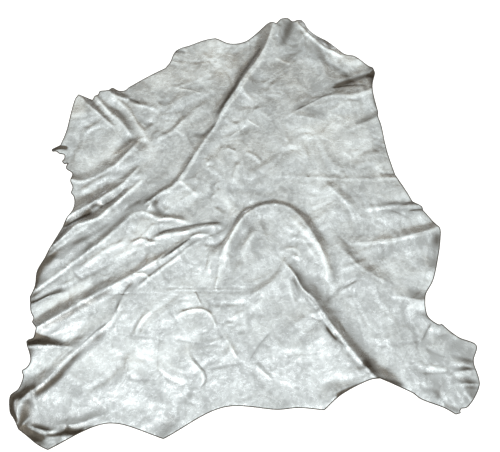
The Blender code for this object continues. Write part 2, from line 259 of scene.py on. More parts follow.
def near_box(points: np.ndarray, crest: Path, reach: float) -> np.ndarray:
    """Indices of the points that lie within reach of a crest's box.

    Args:
        points: The points, one a row.
        crest: The points that the crest runs through.
        reach: How far the box is let out on every side.

    Returns:
        The indices.
    """
    corners = np.array(crest, float)
    low, high = corners.min(0) - reach, corners.max(0) + reach
    return np.nonzero(((points > low) & (points < high)).all(1))[0]


@dataclass(frozen=True)
class Fold:
    """A ridge of the sheet, listed from -X to +X.

    Heights and widths are given at even stations along the crest. back is the width of the face
    towards +Y, on the left of that direction, and front the other. lip is how much of the
    height falls away in a narrow strip in front of the crest; a round crest has none.
    """

    LIP_WIDTH = 6.0
    LIP_CURVE = 1.3

    crest: Path
    height: Stations
    back: Stations
    front: Stations
    lip: float

    def shape(self, points: np.ndarray) -> tuple[np.ndarray, np.ndarray]:
        """The height that this fold gives, and the painted highlight along its lip.

        Args:
            points: Plan points in millimetres, one a row.

        Returns:
            A height and a painted highlight for each point, 0 beyond the feet of the fold.
        """
        lift, lip_highlight = np.zeros(len(points)), np.zeros(len(points))
        near = near_box(points, self.crest, max(self.back + self.front))
        if len(near):
            place = Nearest.on(points[near], self.crest)
            height = along(self.height, place.share)
            lip = np.minimum(self.lip, height)
            strip = np.clip(place.distance / self.LIP_WIDTH, 0, 1)
            u = np.clip(place.distance / along(self.back, place.share), 0, 1)
            v = np.clip(place.distance / along(self.front, place.share), 0, 1)
            behind = height * ((1 - u) ** 2 + (1 - u * u) ** 2) / 2
            ahead = lip * (1 - strip) ** self.LIP_CURVE + (height - lip) * (1 - v * v) ** 2
            lift[near] = np.where(place.behind, behind, ahead)
            # The lip in front of the crest gets a painted highlight, fading away from the crest.
            lip_highlight[near] = np.where(place.behind, 0, lip * (1 - strip * strip))
        return lift, lip_highlight


@dataclass(frozen=True)
class Crease:
    """A small line of the grain: a ridge if height is above 0, a trough if below.

    width is from its middle to its foot. tone is painted light and shade along it, paler where
    above 0 and darker where below. A crease fades out towards both its ends.
    """

    FADE = 0.18

    path: Path
    height: float
    width: float
    tone: float

    def mark(self, points: np.ndarray) -> tuple[np.ndarray, np.ndarray]:
        """Which points the crease reaches, and how strongly.

        Args:
            points: Plan points in millimetres, one a row.

        Returns:
            The indices of those points, and a strength from 0 to 1 for each.
        """
        near = near_box(points, self.path, self.width)
        if not len(near):
            return near, np.zeros(0)
        place = Nearest.on(points[near], self.path)
        u = np.clip(place.distance / self.width, 0, 1)
        end = np.minimum(place.share, 1 - place.share) / self.FADE
        return near, (1 - u * u) ** 2 * eased(end)


def painted_light_patch(path: Path, width: float, tone: float) -> Crease:
    """A broad, soft patch of painted light, or of painted shade where the tone is below 0, with no height
    of its own.
    """
    return Crease(path, 0, width, tone)


# The folds of the skin. Each crest runs from -X to +X, and every height and width is in
# millimetres.
FOLDS: dict[str, Fold] = {
    "neck": Fold(
        crest=((-196, 44), (-180, 57), (-165, 68), (-148, 78), (-137, 91), (-127, 106), (-118, 124),
               (-104, 146), (-90, 168), (-80, 186), (-66, 206), (-58, 224), (-49, 246), (-26, 281),
               (-8, 315), (13, 343), (30, 373), (42, 405), (52, 440)),
        height=(1.5, 2.4, 2.4, 2, 2.2, 4, 4.4, 5, 6, 7, 8), back=(8, 9, 10, 13, 20, 18, 20, 26, 30),
        front=(16, 20, 30, 40, 50, 50), lip=1.2,
    ),
    "crown roll": Fold(
        crest=((88, 454), (100, 430), (116, 409), (133, 392), (153, 375), (169, 366), (192, 353)),
        height=(5, 6, 6.6, 6.6, 4.6, 0), back=(20, 18, 16), front=(60,), lip=1.2,
    ),
    "right shoulder": Fold(
        crest=((60, 216), (83, 230), (100, 241), (127, 256), (148, 266), (170, 270), (190, 270),
               (210, 272), (230, 277), (262, 292)),
        height=(0, 0.7, 1, 1.5, 2.6, 3.8, 4.8, 5.2), back=(6, 8, 12, 22, 38, 42),
        front=(35, 40, 44, 48, 44), lip=0.6,
    ),
    "shoulder dimple": Fold(
        crest=((66, 230), (95, 225), (118, 221), (148, 216)),
        height=(0, 1.2, 1.2, 0), back=(14, 16), front=(31, 35), lip=0.4,
    ),
    "right side": Fold(
        crest=((180, 188), (204, 200), (222, 209), (240, 218), (264, 229)),
        height=(0, 0.6, 1.6, 3.2), back=(14,), front=(40, 48), lip=0.5,
    ),
    "right midline": Fold(
        crest=((34, 97), (65, 100), (100, 98), (150, 95), (200, 93), (250, 95), (292, 96)),
        height=(0, 0.6, 0.8, 0.6, 0.8, 1.8), back=(9,), front=(60, 60, 57), lip=0.4,
    ),
    "belly point": Fold(
        crest=((206, 30), (236, 35), (262, 38), (290, 39), (342, 41)),
        height=(0, 0.8, 1.8, 3.6, 4.6), back=(11, 12), front=(35, 44), lip=0.8,
    ),
    "right belly": Fold(
        crest=((150, -37), (198, -34), (230, -31), (254, -28), (276, -25), (296, -20), (320, -15),
               (345, -7), (368, 2)),
        height=(0, 0.6, 1.2, 2.4, 4.2, 4.9, 4.9), back=(16, 20), front=(31, 53), lip=0.8,
    ),
    "right back": Fold(
        crest=((138, 92), (155, 74), (172, 58), (186, 42), (196, 22), (200, 6)),
        height=(0, 2.8, 3.5, 2.8, 0), back=(18,), front=(60,), lip=0.6,
    ),
    "right loin": Fold(
        crest=((148, -22), (165, -40), (182, -58), (200, -76), (222, -92), (246, -106), (268, -116)),
        height=(0, 2.2, 3, 2.6, 0), back=(22,), front=(50,), lip=0.4,
    ),
    "right bay": Fold(
        crest=((250, -132), (275, -135), (296, -140), (332, -146)),
        height=(0, 2.1, 4.2, 4.9), back=(16, 26), front=(44, 57), lip=0.6,
    ),
    "haunch": Fold(
        crest=((54, -58), (67, -76), (76, -87), (84, -98), (90, -109), (96, -121), (101, -126),
               (110, -132), (118, -142), (125, -152), (137, -171), (147, -187), (157, -201), (167, -213),
               (173, -221), (182, -234), (192, -247), (202, -258), (212, -269), (223, -281), (238, -296)),
        height=(0, 3.5, 4.5, 5.5, 5.5, 5.5, 6, 7, 8, 9), back=(13, 19, 24, 24, 21, 18, 20, 25, 34),
        front=(14, 20, 34, 60, 80, 80), lip=1.2,
    ),
    "belly arch": Fold(
        crest=((-60, -76), (-56, -62), (-51, -48), (-45, -38), (-39, -27), (-31, -13), (-23, 1),
               (-14, 14), (-4, 25), (8, 33), (22, 39), (38, 42), (54, 42), (70, 38), (84, 29), (96, 17),
               (106, 2), (116, -14), (126, -31), (134, -50), (139, -70), (141, -90), (140, -108)),
        height=(0, 2, 3.4, 4.4, 4.8, 4, 3, 2.2, 2.6, 4, 4.8, 4.6, 3.6, 2.4, 0),
        back=(10, 12, 13, 13, 9, 10, 16, 19, 18, 16), front=(20, 22, 26, 36, 50, 50, 40), lip=0.5,
    ),
    "right rump lift": Fold(
        crest=((140, -322), (158, -303), (180, -293), (204, -288)),
        height=(4.2, 6.3, 5.6, 2.1), back=(30, 26), front=(35,), lip=0.6,
    ),
    "left back": Fold(
        crest=((-186, -30), (-168, -20), (-152, -15), (-133, -13), (-113, -10), (-96, -4), (-80, -1),
               (-58, -1), (-46, -6)),
        height=(0, 1.8, 2, 1.8, 1.4, 1.2, 1.4, 0), back=(9, 12), front=(18, 26), lip=0.8,
    ),
    "saddle crease": Fold(
        crest=((-186, 6), (-168, 13), (-152, 15), (-134, 10), (-113, 3)),
        height=(0, 2, 2.2, 0), back=(14,), front=(26,), lip=0.9,
    ),
    "upper loin": Fold(
        crest=((-214, -94), (-185, -76), (-162, -64), (-140, -50), (-118, -33), (-104, -20), (-74, -17)),
        height=(0, 2.8, 3.5, 3.5, 2.1, 0), back=(12,), front=(18,), lip=1.2,
    ),
    "lower loin": Fold(
        crest=((-214, -124), (-190, -104), (-166, -85), (-144, -68), (-120, -48), (-100, -33),
               (-82, -27)),
        height=(0, 2.1, 2.8, 2.8, 2.1, 0), back=(8,), front=(40,), lip=1.2,
    ),
    "left thigh": Fold(
        crest=((-404, -206), (-385, -194), (-350, -171), (-325, -156), (-300, -142), (-278, -128),
               (-258, -117), (-236, -107), (-214, -93), (-192, -78), (-172, -66), (-146, -48)),
        height=(6, 6, 5.4, 4.6, 4, 3.6, 3, 0), back=(24, 22, 17, 13), front=(22, 18, 22, 35), lip=1.2,
    ),
    "long left": Fold(
        crest=((-416, -142), (-405, -133), (-388, -119), (-366, -103), (-335, -78), (-311, -58),
               (-289, -41), (-271, -27), (-245, -1), (-224, 20), (-208, 30)),
        height=(3.5, 3.5, 3.4, 3.4, 3.4, 3, 0), back=(46, 40, 30, 22, 18, 12), front=(30, 40, 40, 20),
        lip=1.2,
    ),
    "left flank roll": Fold(
        crest=((-390, -66), (-372, -47), (-355, -32), (-340, -17), (-325, -2), (-309, 6), (-292, 12),
               (-277, 22), (-264, 35), (-250, 48), (-236, 62), (-222, 76), (-208, 94)),
        height=(6, 9, 9, 7, 4.5, 3.5, 2.5, 0), back=(22, 24, 24, 16, 10), front=(60, 60, 40, 20), lip=1.2,
    ),
    "left rib": Fold(
        crest=((-350, 8), (-338, 18), (-324, 27), (-306, 39), (-290, 49), (-271, 61), (-252, 75),
               (-238, 87), (-226, 101), (-217, 113), (-209, 126)),
        height=(8, 8, 7.5, 6, 5, 4, 2.5, 0), back=(30, 28, 24, 20, 16), front=(16, 16, 16, 20), lip=1.2,
    ),
    "left shoulder blade": Fold(
        crest=((-352, 94), (-325, 88), (-300, 96), (-278, 109), (-258, 122), (-246, 134), (-233, 148),
               (-221, 164), (-212, 182)),
        height=(3.5, 2.2, 2.4, 3.4, 4.8, 4.8, 0), back=(14, 20, 24, 26, 20), front=(26, 40, 40), lip=1.2,
    ),
    "fore leg inner": Fold(
        crest=((-298, 290), (-284, 281), (-275, 275), (-264, 268), (-250, 264), (-236, 260)),
        height=(6, 5.2, 4.6, 0), back=(18, 16, 14), front=(33,), lip=1.2,
    ),
    "fore leg outer": Fold(
        crest=((-344, 276), (-320, 250), (-303, 236), (-289, 223), (-277, 211), (-258, 194)),
        height=(3.5, 4.4, 3.6, 0), back=(15, 14), front=(60, 57), lip=1.2,
    ),
    "fore leg middle": Fold(
        crest=((-310, 272), (-292, 251), (-276, 233), (-260, 219), (-247, 205), (-238, 192), (-226, 176)),
        height=(3.4, 3, 3.4, 3.6, 3, 0), back=(14, 18, 18, 14), front=(14,), lip=1.2,
    ),
    "shoulder seam": Fold(
        crest=((-244, 258), (-222, 249), (-200, 244), (-176, 232)),
        height=(0, 2.1, 1.4, 0), back=(12,), front=(31,), lip=1.1,
    ),
    "withers": Fold(
        crest=((-190, 172), (-170, 181), (-150, 194), (-132, 216), (-116, 234)),
        height=(0, 1.3, 1.5, 0), back=(10,), front=(40,), lip=0.6,
    ),
    "left hock": Fold(
        crest=((-420, -228), (-398, -225), (-375, -223), (-350, -223), (-325, -226), (-302, -228)),
        height=(6.3, 5.6, 4.4, 2.6, 0), back=(22, 14, 9), front=(60, 60), lip=1.2,
    ),
    "left shank": Fold(
        crest=((-401, -376), (-404, -350), (-403, -330), (-396, -313), (-382, -301), (-366, -291),
               (-352, -278), (-338, -262), (-324, -246), (-308, -232), (-294, -218), (-278, -202),
               (-262, -190), (-248, -176), (-238, -154), (-230, -130), (-214, -108)),
        height=(5, 5, 4.5, 4, 3.4, 3, 2.6, 2, 0), back=(16, 22, 28, 26, 20), front=(40, 29, 24, 24),
        lip=1.2,
    ),
    "left foot": Fold(
        crest=((-412, -376), (-390, -385), (-368, -389), (-350, -382)),
        height=(5.6, 6.3, 4.9, 0), back=(16,), front=(31,), lip=0.6,
    ),
    "left toe": Fold(
        crest=((-384, -361), (-364, -368), (-346, -371), (-328, -366)),
        height=(0, 2.8, 2.8, 0), back=(8,), front=(57,), lip=1.2,
    ),
    "left heel": Fold(
        crest=((-346, -381), (-322, -378), (-300, -378), (-276, -372)),
        height=(0, 4.2, 6.3, 5.6), back=(14, 16), front=(31,), lip=0.6,
    ),
    "left foot crease": Fold(
        crest=((-340, -360), (-315, -360), (-290, -356), (-268, -347), (-246, -340)),
        height=(0, 2.8, 2.8, 0), back=(13,), front=(22,), lip=0.6,
    ),
    "left rump": Fold(
        crest=((-176, -244), (-162, -258), (-142, -272), (-116, -284), (-98, -290)),
        height=(0, 1.1, 1, 0), back=(12,), front=(20,), lip=0.2,
    ),
    "tail": Fold(
        crest=((-118, -222), (-110, -245), (-96, -260), (-86, -272), (-82, -290)),
        height=(0, 1.1, 1.1, 0), back=(9,), front=(20,), lip=0.6,
    ),
    "mid rump": Fold(
        crest=((-52, -196), (-44, -212), (-32, -230), (-16, -250)),
        height=(0, 1, 1, 0), back=(10,), front=(26,), lip=0.5,
    ),
    "flank fan": Fold(
        crest=((-398, -150), (-370, -135), (-340, -126), (-320, -122)),
        height=(3.5, 2.1, 0.7, 0), back=(6,), front=(44,), lip=1.2,
    ),
    "right leg crease": Fold(
        crest=((355, -272), (375, -268), (403, -266)),
        height=(0, 1.1, 1.4), back=(8,), front=(18,), lip=0.8,
    ),
    "right foot crease": Fold(
        crest=((355, -290), (380, -291), (408, -291)),
        height=(0, 1, 1.4), back=(8,), front=(18,), lip=0.8,
    ),
    "right rim roll": Fold(
        crest=((322, -62), (330, -40), (335, -20)),
        height=(0, 2.1, 0), back=(10,), front=(44,), lip=0.4,
    ),
}

# Creases and lines of painted light and shade by region, each row a path, its height, its width
# and its tone: painted highlight above 0, painted shade below. The painted light patches are the
# broad patches of painted light and shade.
CREASES: dict[str, tuple[Crease, ...]] = {
    "neck": (
        Crease(((-152, 288), (-134, 283), (-116, 280), (-94, 272)), 0.4, 3, 0.38),
        Crease(((-98, 339), (-80, 342), (-62, 342)), 0.4, 3, 0.45),
        Crease(((-150, 350), (-120, 345), (-92, 344)), -0.5, 5, -0.05),
        Crease(((-164, 360), (-148, 369), (-128, 366)), -0.7, 5, -0.30),
        Crease(((-55, 400), (-62, 385), (-62, 365)), 0.8, 12, 0.06),
        Crease(((50, 353), (64, 347), (82, 338)), 0.3, 4, 0.35),
        Crease(((90, 442), (80, 420), (70, 396), (58, 374)), -0.6, 13, -0.16),
        Crease(((60, 425), (55, 400)), 1.0, 6, 0.10),
        Crease(((-148, 232), (-135, 240), (-120, 246)), -0.9, 10, -0.04),
        Crease(((-158, 196), (-137, 221), (-118, 240)), -0.4, 9, -0.04),
        Crease(((-62, 214), (-77, 197), (-89, 186), (-100, 185), (-116, 190)), -0.5, 8, -0.24),
        Crease(((-144, 196), (-136, 189), (-126, 184)), 0.4, 4.5, 0.26),
        Crease(((-16, 288), (-7, 270), (10, 257)), 0.6, 6, 0.16),
        Crease(((-50, 222), (-35, 208), (-20, 205)), 0.8, 8, 0.04),
        Crease(((-215, 190), (-206, 182), (-193, 163), (-184, 150)), 0.4, 7, 0.10),
        Crease(((-72, 208), (-62, 231), (-45, 260), (-31, 285), (-13, 318), (4, 346), (22, 376), (33, 402)),
               -0.3, 8, -0.28),
        Crease(((-60, 214), (-43, 243), (-20, 277), (-2, 311), (19, 339), (34, 366)), 0.5, 4, 0.30),
        Crease(((-80, 398), (-80, 375), (-82, 352)), 0.2, 13, 0.16),
        Crease(((-184, 256), (-170, 254), (-156, 256)), -0.6, 8, -0.14),
        Crease(((-4, 270), (8, 300), (20, 330)), -0.3, 16, -0.13),
        Crease(((-172, 58), (-150, 71), (-130, 91), (-117, 113), (-104, 138), (-94, 156)), 0.4, 4, 0.24),
        Crease(((-128, 104), (-120, 122), (-108, 143)), -0.3, 5, -0.20),
        Crease(((97, 425), (112, 408), (131, 388), (152, 371), (174, 360), (190, 354)), 0.5, 4, 0.24),
        Crease(((112, 424), (128, 407), (146, 391), (166, 380), (182, 368)), -0.2, 9, -0.08),
        Crease(((94, 436), (100, 424), (104, 412)), 0.2, 9, 0.14),
        Crease(((-162, 346), (-143, 342), (-124, 341)), 0.3, 6, 0.18),
        Crease(((-140, 205), (-115, 221), (-90, 234)), 0.6, 12, 0.12),
        Crease(((-8, 219), (7, 209), (20, 200)), 0.3, 3, 0.24),
        Crease(((-36, 182), (-19, 195), (-4, 209)), 0.3, 3, 0.26),
        Crease(((-40, 210), (-13, 211), (14, 212)), 0.2, 10, 0.08),
        Crease(((-23, 194), (2, 197), (30, 195)), -0.3, 8, -0.07),
    ),
    "right shoulder": (
        Crease(((150, 345), (175, 330), (202, 309)), -0.4, 8, -0.10),
        Crease(((238, 318), (247, 330)), 0.7, 4, 0.15),
        Crease(((184, 263), (204, 266), (224, 271), (250, 281)), 0.5, 8, 0.20),
        Crease(((172, 248), (188, 252), (204, 258)), 0.4, 6, 0.12),
        Crease(((158, 286), (190, 297), (212, 306), (230, 312), (246, 316), (266, 326)), -0.7, 9, -0.33),
        Crease(((158, 286), (175, 288), (200, 291), (225, 291), (236, 286)), -0.3, 3, -0.26),
        Crease(((80, 231), (100, 242), (127, 257), (148, 269), (176, 278)), -0.3, 3, -0.18),
        Crease(((190, 262), (220, 258)), -0.4, 4, -0.10),
        Crease(((154, 229), (168, 227), (184, 219)), 0.3, 4, 0.22),
        Crease(((180, 250), (160, 235)), 0.3, 6, 0.10),
        Crease(((220, 200), (240, 210), (258, 217)), 0.2, 8, 0.12),
        Crease(((238, 202), (236, 188), (242, 178), (262, 173)), -0.5, 5, -0.12),
        Crease(((244, 167), (256, 160), (272, 146)), -0.5, 6, -0.14),
        Crease(((162, 347), (184, 344), (210, 335)), 0.2, 14, 0.14),
    ),
    "left shoulder": (
        Crease(((-262, 148), (-242, 166), (-222, 183)), -0.7, 18, -0.16),
        Crease(((-205, 205), (-190, 213)), -1.2, 8, -0.10),
        Crease(((-190, 50), (-188, 35)), 1.2, 8, 0.08),
        Crease(((-185, 24), (-170, 34), (-155, 44)), -1.6, 12, -0.06),
        Crease(((-268, 139), (-250, 149), (-234, 161), (-222, 175)), 0.5, 3.5, 0.34),
        Crease(((-326, 62), (-307, 76), (-297, 86), (-281, 95), (-266, 106)), 1.5, 9, 0.08),
        Crease(((-400, 150), (-384, 155), (-368, 158), (-350, 156)), -0.3, 6, -0.75),
        Crease(((-284, 276), (-265, 260), (-244, 243), (-230, 223), (-221, 208), (-208, 190), (-198, 174)),
               1.0, 7, 0.24),
        Crease(((-280, 256), (-262, 239), (-247, 221), (-234, 201), (-222, 182)), -0.5, 9, -0.12),
        Crease(((-326, 262), (-306, 243), (-290, 228), (-274, 213), (-258, 200)), -0.5, 9, -0.10),
        Crease(((-311, 263), (-295, 250), (-278, 230), (-261, 213)), 0.5, 3.5, 0.24),
        Crease(((-286, 282), (-270, 276), (-254, 271), (-236, 265)), -0.4, 9, -0.18),
        Crease(((-242, 264), (-230, 258), (-216, 252)), -0.4, 5, -0.30),
        Crease(((-340, 273), (-325, 266), (-310, 259)), -0.3, 5, -0.40),
        Crease(((-222, 218), (-208, 212), (-192, 206)), -0.5, 9, -0.16),
        Crease(((-334, 214), (-320, 208), (-304, 198)), 0, 6, 0.10),
        Crease(((-332, 201), (-316, 196), (-298, 190)), 0, 6, -0.08),
    ),
    "left side": (
        Crease(((-225, -40), (-205, -27), (-190, -32), (-175, -30)), 1.2, 7, 0.05),
        Crease(((-312, -102), (-293, -92), (-275, -83), (-245, -63)), -0.8, 7, -0.12),
        Crease(((-345, -115), (-320, -105)), 0.9, 5, 0.08),
        Crease(((-350, -72), (-320, -92)), 0.6, 5, 0.05),
        Crease(((-345, -183), (-315, -163)), -0.7, 4, -0.08),
        Crease(((-416, -160), (-396, -149), (-380, -139), (-360, -128), (-332, -119)), -0.7, 9, -0.34),
        Crease(((-366, -48), (-380, -76), (-386, -96), (-391, -114), (-399, -138)), -0.4, 18, -0.26),
        Crease(((-360, 2), (-340, 5), (-322, 13), (-306, 24), (-297, 34)), -0.7, 9, -0.24),
        Crease(((-340, 12), (-353, -12), (-362, -34), (-374, -62)), -0.4, 19, -0.20),
        Crease(((-386, -72), (-358, -45), (-339, -28), (-316, -9), (-285, 16)), 0.4, 6, 0.25),
        Crease(((-359, -69), (-341, -80), (-325, -88), (-312, -100), (-300, -104)), -0.7, 4, -0.10),
        Crease(((-326, -91), (-289, -65), (-260, -44), (-222, -26)), 1.3, 8, 0.12),
        Crease(((-300, 34), (-291, 40), (-277, 38)), -0.9, 5, -0.15),
        Crease(((-280, 42), (-262, 53), (-248, 66), (-232, 79)), -0.9, 5, -0.12),
        Crease(((-400, -60), (-378, -52), (-360, -36), (-350, -26), (-338, -13), (-324, 1), (-306, 12)),
               0.3, 3.5, 0.16),
        Crease(((-246, -168), (-240, -150), (-232, -134), (-225, -120), (-210, -107)), -0.8, 6, -0.24),
        Crease(((-218, -104), (-208, -96), (-197, -93), (-186, -101)), 0.6, 5, 0.20),
        Crease(((-400, -139), (-384, -126), (-366, -111), (-340, -91)), -0.3, 5, -0.18),
        Crease(((-336, -40), (-318, -31), (-296, -18), (-276, -4), (-258, 12)), -0.4, 7, -0.14),
        Crease(((-216, -87), (-194, -71), (-170, -57)), 0, 10, 0.24),
        Crease(((-342, -148), (-330, -141), (-318, -136)), 0, 7, 0.12),
    ),
    "back": (
        Crease(((-240, 28), (-222, 42), (-205, 52)), -0.9, 5, -0.08),
        Crease(((-137, 92), (-116, 74), (-96, 58)), 0.7, 5, 0.26),
        Crease(((-178, 56), (-177, 36), (-163, 23), (-146, 21)), -1.2, 9, -0.20),
        Crease(((-177, 58), (-188, 41), (-197, 29)), 0.9, 5, 0.10),
        Crease(((-210, -24), (-195, -17), (-184, -2), (-171, 8)), 0.9, 5, 0.10),
        Crease(((-216, -36), (-204, -27), (-193, -28), (-185, -33), (-170, -30)), 0.9, 5, 0.10),
        Crease(((-90, -33), (-68, -37), (-54, -30), (-45, -22)), -1.2, 7, -0.10),
        Crease(((-112, -26), (-95, -18), (-78, -19), (-66, -26)), 0.8, 5, 0.18),
        Crease(((-58, 74), (-42, 48), (-26, 14)), 0.4, 14, 0.18),
        Crease(((-60, 74), (-29, 72), (0, 71), (30, 66)), -0.5, 9, -0.12),
        Crease(((-72, 55), (-63, 66), (-57, 73)), 0.9, 5, 0.12),
        Crease(((-68, 76), (-64, 82), (-60, 88)), 0.9, 5, 0.10),
        Crease(((-65, 41), (-55, 35), (-46, 28)), -1.2, 7, -0.08),
        Crease(((-45, 158), (-36, 153), (-26, 149)), 0.9, 5, 0.10),
        Crease(((-22, 128), (-27, 108), (-33, 85)), 1.2, 8, 0.08),
        Crease(((-8, 149), (10, 139), (22, 126)), 1.0, 6, 0.08),
        Crease(((-76, 142), (-78, 128), (-82, 112)), 0.9, 7, 0.05),
        Crease(((-72, -44), (-68, -66), (-74, -92)), 1.8, 13, 0.10),
        Crease(((-80, -62), (-84, -80), (-88, -96)), -1.0, 6, -0.08),
        Crease(((-53, -54), (-51, -79), (-55, -101), (-61, -122)), -0.8, 4.5, -0.12),
        Crease(((-58, -98), (-61, -112), (-63, -126)), 0.8, 4.5, 0.12),
        Crease(((-41, -54), (-39, -73), (-41, -90)), 0.8, 4.5, 0.10),
        Crease(((-14, -6), (-24, -26), (-31, -46), (-34, -66)), -1.0, 11, -0.13),
        Crease(((12, -6), (-4, -32), (-11, -51), (-7, -74)), 1.2, 8, 0.20),
        Crease(((18, -16), (8, -40), (16, -60)), -0.8, 10, -0.12),
        Crease(((30, 20), (32, 0), (36, -20)), -0.7, 12, -0.04),
        Crease(((74, 22), (93, -2), (115, -24), (130, -45), (140, -70), (143, -92), (134, -108)),
               0.8, 8, 0.36),
        Crease(((64, -45), (82, -45), (92, -56), (80, -65)), 0.6, 4, 0.24),
        Crease(((78, -57), (86, -60), (94, -66)), 0.9, 5, 0.10),
        Crease(((94, -20), (108, -42), (117, -55), (122, -70)), 0.5, 4, 0.18),
        Crease(((-60, -120), (-53, -80), (-45, -45), (-36, -16)), 0.8, 8, 0.32),
        Crease(((-44, -45), (-36, -22), (-25, -4), (-8, 22), (10, 34)), 0.5, 7, 0.30),
        Crease(((-230, 22), (-200, 26), (-175, 14), (-150, 15), (-124, 9), (-104, 2)), 0.6, 5, 0.28),
        Crease(((-165, 42), (-138, 54), (-106, 56)), 0.2, 18, 0.14),
        Crease(((-70, 90), (-74, 67), (-77, 46)), -0.5, 8, -0.16),
        Crease(((-23, 128), (-23, 102), (-27, 78)), 0.4, 5, 0.18),
        Crease(((-87, 146), (-81, 122), (-74, 104)), 0.3, 5, 0.14),
        Crease(((-188, -24), (-158, -10), (-124, -3), (-86, 4), (-54, 5), (-38, -5)), -0.4, 4.5, -0.30),
        Crease(((-190, -26), (-148, -19), (-122, -13), (-106, -8)), 0.4, 4, 0.18),
        Crease(((-188, -83), (-157, -52), (-129, -31), (-105, -15)), 0.4, 4, 0.20),
        Crease(((-181, -83), (-154, -57), (-123, -34), (-100, -21)), -0.3, 4, -0.16),
        Crease(((-218, -90), (-205, -93), (-193, -93), (-181, -105)), 0.6, 4, 0.24),
        Crease(((-283, 17), (-247, 51), (-222, 71), (-196, 104)), 0.4, 5, 0.22),
        Crease(((-272, -80), (-235, -55), (-195, -36), (-158, -28)), 0.5, 7, 0.12),
        Crease(((-60, -30), (-68, -56), (-69, -81), (-58, -108)), -0.5, 7, -0.10),
        Crease(((-49, -40), (-68, -58), (-76, -80), (-73, -108)), 0.5, 7, 0.14),
        Crease(((78, 38), (106, 22), (125, -6), (140, -38)), -0.4, 17, -0.16),
        Crease(((-5, 30), (14, 41), (40, 50)), -0.3, 6, -0.16),
        Crease(((158, -8), (172, -25), (188, -40)), -0.4, 5, -0.12),
    ),
    "rump": (
        Crease(((-135, -170), (-110, -160), (-90, -158), (-75, -165), (-65, -180), (-58, -200)),
               1.3, 6, 0.10),
        Crease(((-125, -160), (-105, -156), (-90, -155)), -0.3, 4, -0.10),
        Crease(((-102, -125), (-90, -150)), 0.7, 4, 0.08),
        Crease(((-98, -124), (-86, -149)), -0.5, 3, -0.10),
        Crease(((-160, -119), (-80, -119), (10, -120)), -0.4, 2.5, -0.06),
        Crease(((-150, -126), (-70, -126), (10, -127)), -0.4, 2.5, -0.06),
        Crease(((-275, -131), (-215, -130), (-150, -130)), -0.4, 2.5, -0.06),
        Crease(((-80, -148), (-40, -149), (0, -147)), -0.8, 6, -0.05),
        Crease(((-163, -165), (-163, -210), (-165, -268)), -0.4, 2.5, -0.10),
        Crease(((-50, -187), (-40, -180), (-30, -180)), -0.9, 5, -0.10),
        Crease(((-40, -179), (-16, -166), (11, -152), (24, -139), (28, -118)), 0.8, 7, 0.14),
        Crease(((-2, -254), (10, -233), (24, -214), (40, -198)), -0.5, 4, -0.20),
        Crease(((-145, -210), (-115, -216), (-78, -222), (-45, -225)), -0.3, 3.5, -0.12),
        Crease(((-75, -265), (-40, -258), (-10, -253)), -0.6, 4, -0.07),
        Crease(((-105, -238), (-93, -255), (-80, -270), (-77, -284), (-84, -294), (-94, -300)),
               -0.4, 3.5, -0.22),
        Crease(((-114, -220), (-109, -240), (-97, -257), (-85, -270), (-81, -286)), 0.4, 4, 0.24),
        Crease(((-56, -192), (-44, -211), (-32, -230), (-20, -250)), 0.4, 4, 0.18),
        Crease(((-60, -188), (-50, -206), (-38, -225)), -0.4, 4, -0.14),
        Crease(((10, -255), (35, -280)), 1.0, 6, 0.08),
        Crease(((-208, -206), (-200, -186), (-189, -171), (-174, -160)), 0.8, 5, 0.18),
        Crease(((-240, -160), (-235, -145), (-233, -130)), 0.9, 5, 0.08),
        Crease(((-245, -200), (-235, -175), (-222, -160)), 1.0, 7, 0.06),
        Crease(((-170, -258), (-150, -272), (-134, -282), (-112, -291)), 0.4, 3.5, 0.26),
        Crease(((-166, -267), (-150, -279), (-132, -288), (-112, -296)), -0.4, 4, -0.14),
        Crease(((-152, -253), (-134, -263), (-112, -270)), 0.4, 4, 0.16),
        Crease(((-216, -206), (-208, -186), (-196, -166), (-184, -152)), -0.6, 6, -0.08),
        Crease(((-195, -204), (-190, -189), (-180, -178)), 0.5, 4, 0.16),
        Crease(((-222, -200), (-227, -225), (-226, -245), (-219, -266)), -0.3, 6, -0.10),
        Crease(((-206, -216), (-195, -238), (-168, -250)), 0.4, 4, 0.16),
        Crease(((-223, -272), (-203, -284), (-182, -282), (-166, -262)), -0.3, 7, -0.10),
        Crease(((-249, -203), (-214, -206), (-170, -213), (-145, -219)), -0.2, 3, -0.10),
        Crease(((-152, -147), (-142, -166), (-127, -187)), -0.4, 4, -0.12),
        Crease(((-131, -172), (-117, -162), (-92, -159), (-74, -166), (-64, -186), (-66, -199)),
               0.4, 4, 0.16),
        Crease(((-104, -286), (-104, -318)), -0.2, 5, -0.10),
        Crease(((-49, -193), (-37, -216), (-24, -240)), 0.3, 4, 0.14),
        Crease(((0, -264), (21, -291), (45, -310)), -0.4, 8, -0.10),
        Crease(((8, -259), (24, -271), (40, -283)), 0.4, 4, 0.16),
    ),
    "haunch": (
        Crease(((69, -94), (72, -110), (77, -132), (84, -156)), 0.9, 5.5, 0.14),
        Crease(((76, -96), (83, -118), (86, -140)), -1.2, 7, -0.14),
        Crease(((106, -170), (118, -177), (130, -180)), -0.4, 4, -0.22),
        Crease(((92, -155), (108, -165), (122, -172)), 0.4, 4, 0.05),
        Crease(((84, -98), (96, -128), (114, -148), (128, -168)), -0.4, 9, -0.08),
        Crease(((132, -179), (142, -194), (152, -207), (164, -219), (174, -228)), -0.9, 7, -0.30),
        Crease(((172, -228), (186, -248), (204, -268)), -1.4, 11, -0.08),
        Crease(((137, -148), (148, -137), (162, -126), (173, -116), (187, -108), (205, -100)),
               -0.8, 4.5, -0.10),
        Crease(((76, -241), (100, -240), (132, -236)), -0.15, 3, -0.08),
        Crease(((148, -46), (155, -68), (157, -90), (152, -114)), -0.8, 12, -0.16),
        Crease(((92, -200), (100, -230), (104, -262)), -0.7, 12, -0.05),
